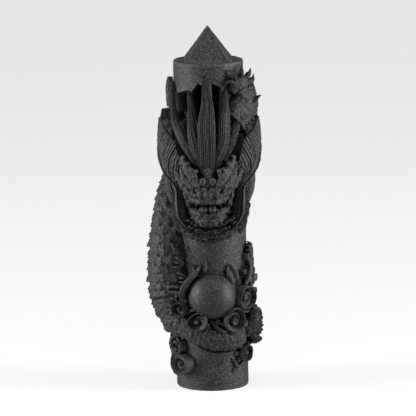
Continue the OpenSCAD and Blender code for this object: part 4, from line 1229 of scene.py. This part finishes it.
# The small curls and knobs round each: angle, height, radius, distance out
CLOUD_FILL = {
    "cloud_left": [
        (-47, 35.2, 1.6, 6.0), (-40, 34.4, 1.4, 5.2), (-53, 39.8, 1.2, 8.2), (-36, 45.6, 1.1, 5.6),
        (-47, 48.0, 1.0, 6.8), (-58, 35.0, 1.3, 6.8)],
    "cloud_front_left": [
        (-29, 35.0, 1.5, 4.8), (-33, 31.0, 1.7, 4.6), (-26, 30.2, 1.2, 4.6), (-19, 29.8, 1.3, 4.6),
        (-7, 33.6, 1.6, 4.8), (-10, 30.0, 1.2, 4.8), (-42, 29.4, 1.3, 4.6), (-8, 37.6, 1.3, 3.6)],
    "cloud_front_right": [
        (2, 30.4, 1.2, 4.8), (6, 34.8, 1.3, 4.6), (12, 29.6, 1.1, 4.6), (19, 28.8, 1.0, 4.4),
        (28, 30.0, 1.3, 4.8), (37, 31.0, 1.2, 4.8), (43, 34.6, 1.9, 5.2), (12, 38.6, 1.2, 3.4),
        (18, 40.2, 1.3, 3.8), (46, 30.0, 1.1, 4.4)],
    "cloud_right": [
        (60, 49.0, 2.2, 5.2), (66, 53.6, 2.0, 4.6), (72, 48.2, 1.9, 5.2), (70, 58.6, 2.2, 4.4),
        (66, 65.6, 1.8, 3.0), (76, 62.2, 2.1, 3.4), (78, 54.4, 2.1, 5.0), (56, 58.6, 1.3, 3.0),
        (58, 40.8, 1.4, 5.2), (70, 40.0, 1.8, 5.4), (40, 50.8, 1.1, 3.4), (82, 68.0, 1.8, 2.6)],
    "cloud_base_left": [
        (-60, 22.6, 5.0, 3.8), (-60, 27.4, 1.9, 5.0), (-67, 18.0, 1.5, 4.0), (-64, 11.4, 1.6, 3.4),
        (-57, 20.2, 1.2, 4.6)],
    "cloud_base_right": [
        (45, 15.2, 1.3, 1.8), (40, 18.0, 1.1, 1.2), (36, 9.8, 1.0, 0.8), (66, 16.2, 1.6, 2.4)],
    "cloud_back_upper": [
        (187, 73.6, 2.2, 3.6), (165, 78.6, 2.0, 3.4), (172, 68.4, 1.8, 3.2), (198, 79.2, 1.8, 3.2),
        (155, 72.6, 1.8, 3.0)],
    "cloud_back_lower": [
        (200, 38.0, 2.2, 3.6), (176, 33.0, 2.2, 3.4), (184, 44.6, 1.9, 3.2), (166, 39.6, 2.0, 3.2),
        (212, 32.6, 1.9, 3.2), (152, 40.0, 1.7, 3.0)],
}


def streak(parts, rows, width, height):
    """A ribbon of cloud that trails away from a scroll."""
    a = rows[len(rows) // 2][0]
    parts.add(*horn(on_column(rows), [width * 0.5, width, width * 0.9, width * 0.6, 0.15],
                    [height * 0.7, height, height, height * 0.6, 0.15], outward(a), 90, 30, 3, 0.4, 0.2))


def clouds():
    """Eight clouds, each a wound scroll with smaller curls and ribbons that trail from it."""
    for name, (a, z, radius, out, turns, hand) in CLOUD_SCROLLS.items():
        parts = Parts()
        wide = 1.15 if name == "cloud_right" else 1.0
        parts.add(*scroll(a, z, radius, out, turns, hand, wide, 1.35, 64, 132))
        for rows, width, height in CLOUD_TRAILS[name]:
            streak(parts, rows, width, height)
        curls(parts, CLOUD_FILL[name])
        parts.build(name + "_wound", "ink_cloud", [name])


def pearl_flame():
    """The ribbon of flame round the pearl's left side, with two tongues at its top."""
    parts = Parts()
    parts.add(*horn(on_column([[-15.5, 63.4, 0.0], [-19, 61.6, 1.0], [-25, 58.8, 2.0], [-31.5, 56.0, 3.2],
                               [-36.5, 52.6, 4.2], [-39.4, 49.4, 4.6], [-39.8, 46.6, 4.2], [-38, 43.6, 3],
                               [-35, 41.0, 1.0]]), [0.3, 0.8, 1.2, 1.5, 1.6, 1.6, 1.5, 1.2, 0.5],
                    [0.4, 1.6, 2.6, 3.2, 3.4, 3.4, 3.0, 2.2, 0.8], outward(-31), 170, 60, 2, 0.22, 0.2))
    parts.add(*horn(on_column([[-20, 60.0, 0.6], [-24, 60.2, 1.6], [-27.5, 61.4, 1.2], [-29, 63.6, 0.0]]),
                    [0.9, 1.0, 0.7, 0.15], [1.2, 1.3, 0.9, 0.2], outward(-25), 30, 20, 0, 0, 0.15))
    parts.add(*horn(on_column([[-12.5, 59.4, 0.0], [-9.5, 61.2, 0.9], [-8, 63.2, 0.8], [-8.5, 65.4, 0.0]]),
                    [0.8, 0.9, 0.6, 0.12], [0.8, 0.9, 0.6, 0.2], outward(-9), 30, 20, 0, 0, 0.15))
    parts.build("pearl_flame_carved", "ink_cloud", ["pearl_flame"])


def leaf_sprig():
    """A hollow leaf at the pearl's upper right."""
    def hollow(s, g, w, q, p):
        bowl = -1.7 * np.exp(-(np.cos(g) / 0.55) ** 4) * (np.sin(g) > 0)
        return bowl * np.clip(w / 2, 0, 1) + grit(p, 1.2, 0.12)

    parts = Parts()
    parts.add(*sweep([[28, 63.4, 0.2, 0.5, 0.5], [31, 60.0, 1.2, 2.6, 2.0], [35.5, 55.4, 1.6, 3.0, 2.4],
                      [41, 50.6, 0.9, 0.8, 1.0]], 90, 70, hollow))
    curls(parts, [(34.5, 57.0, 0.9, 2.4)])
    parts.build("leaf_sprig_carved", "ink_cloud", ["leaf_sprig"])


def tail_fan():
    """The tail's end: ridged strands that fan out and end in small curls."""
    parts = Parts()
    for k, turn in enumerate(np.linspace(-66, 84, 11)):
        c, s = math.cos(math.radians(turn)), math.sin(math.radians(turn))
        reach = 9.4 + 1.6 * math.sin(k * 2.1)
        step = 180 / math.pi / 22
        tip = [60 + c * reach * step * 1.05, 31 + s * reach, 6.2 - 1.6 * (1 - c)]
        rows = [[50, 30 + s * 1.6, 2.6], [54 + c * reach * 0.3 * step, 30.4 + s * reach * 0.35, 4.8],
                [58 + c * reach * 0.7 * step, 31 + s * reach * 0.75, 5.8], tip]
        parts.add(*horn(on_column(rows), [0.7, 1.1, 1.3, 0.6], [1.8, 2.6, 2.8, 1.2], outward(62), 50, 26, 1,
                        0.3, 0.4))
        curls(parts, [(tip[0] - 1.5 * c, tip[1] - 0.4 * s, 1.3 + 0.3 * (k % 2), tip[2] + 0.4)])
    parts.build("tail_fan_rayed", "ink_cloud", ["tail_fan"])


# ---------------------------------------------------------------- the scene

camera()
studio()
shaft()
pyramid()
pearl()
body_rings = body()
dorsal_fins(body_rings)
mane()
for side, word in ((-1, "left"), (1, "right")):
    ruff(side, "ruff_" + word)
    ruff_lobe(side, "ruff_lobe_" + word)
    ear(side, "ear_" + word)
    brow(side, "brow_" + word)
    eye(side, "eye_" + word)
    cheek(side, "cheek_" + word)
beard()
skull()
muzzle()
lower_jaw()
mouth()
legs()
clouds()
pearl_flame()
leaf_sprig()
tail_fan()
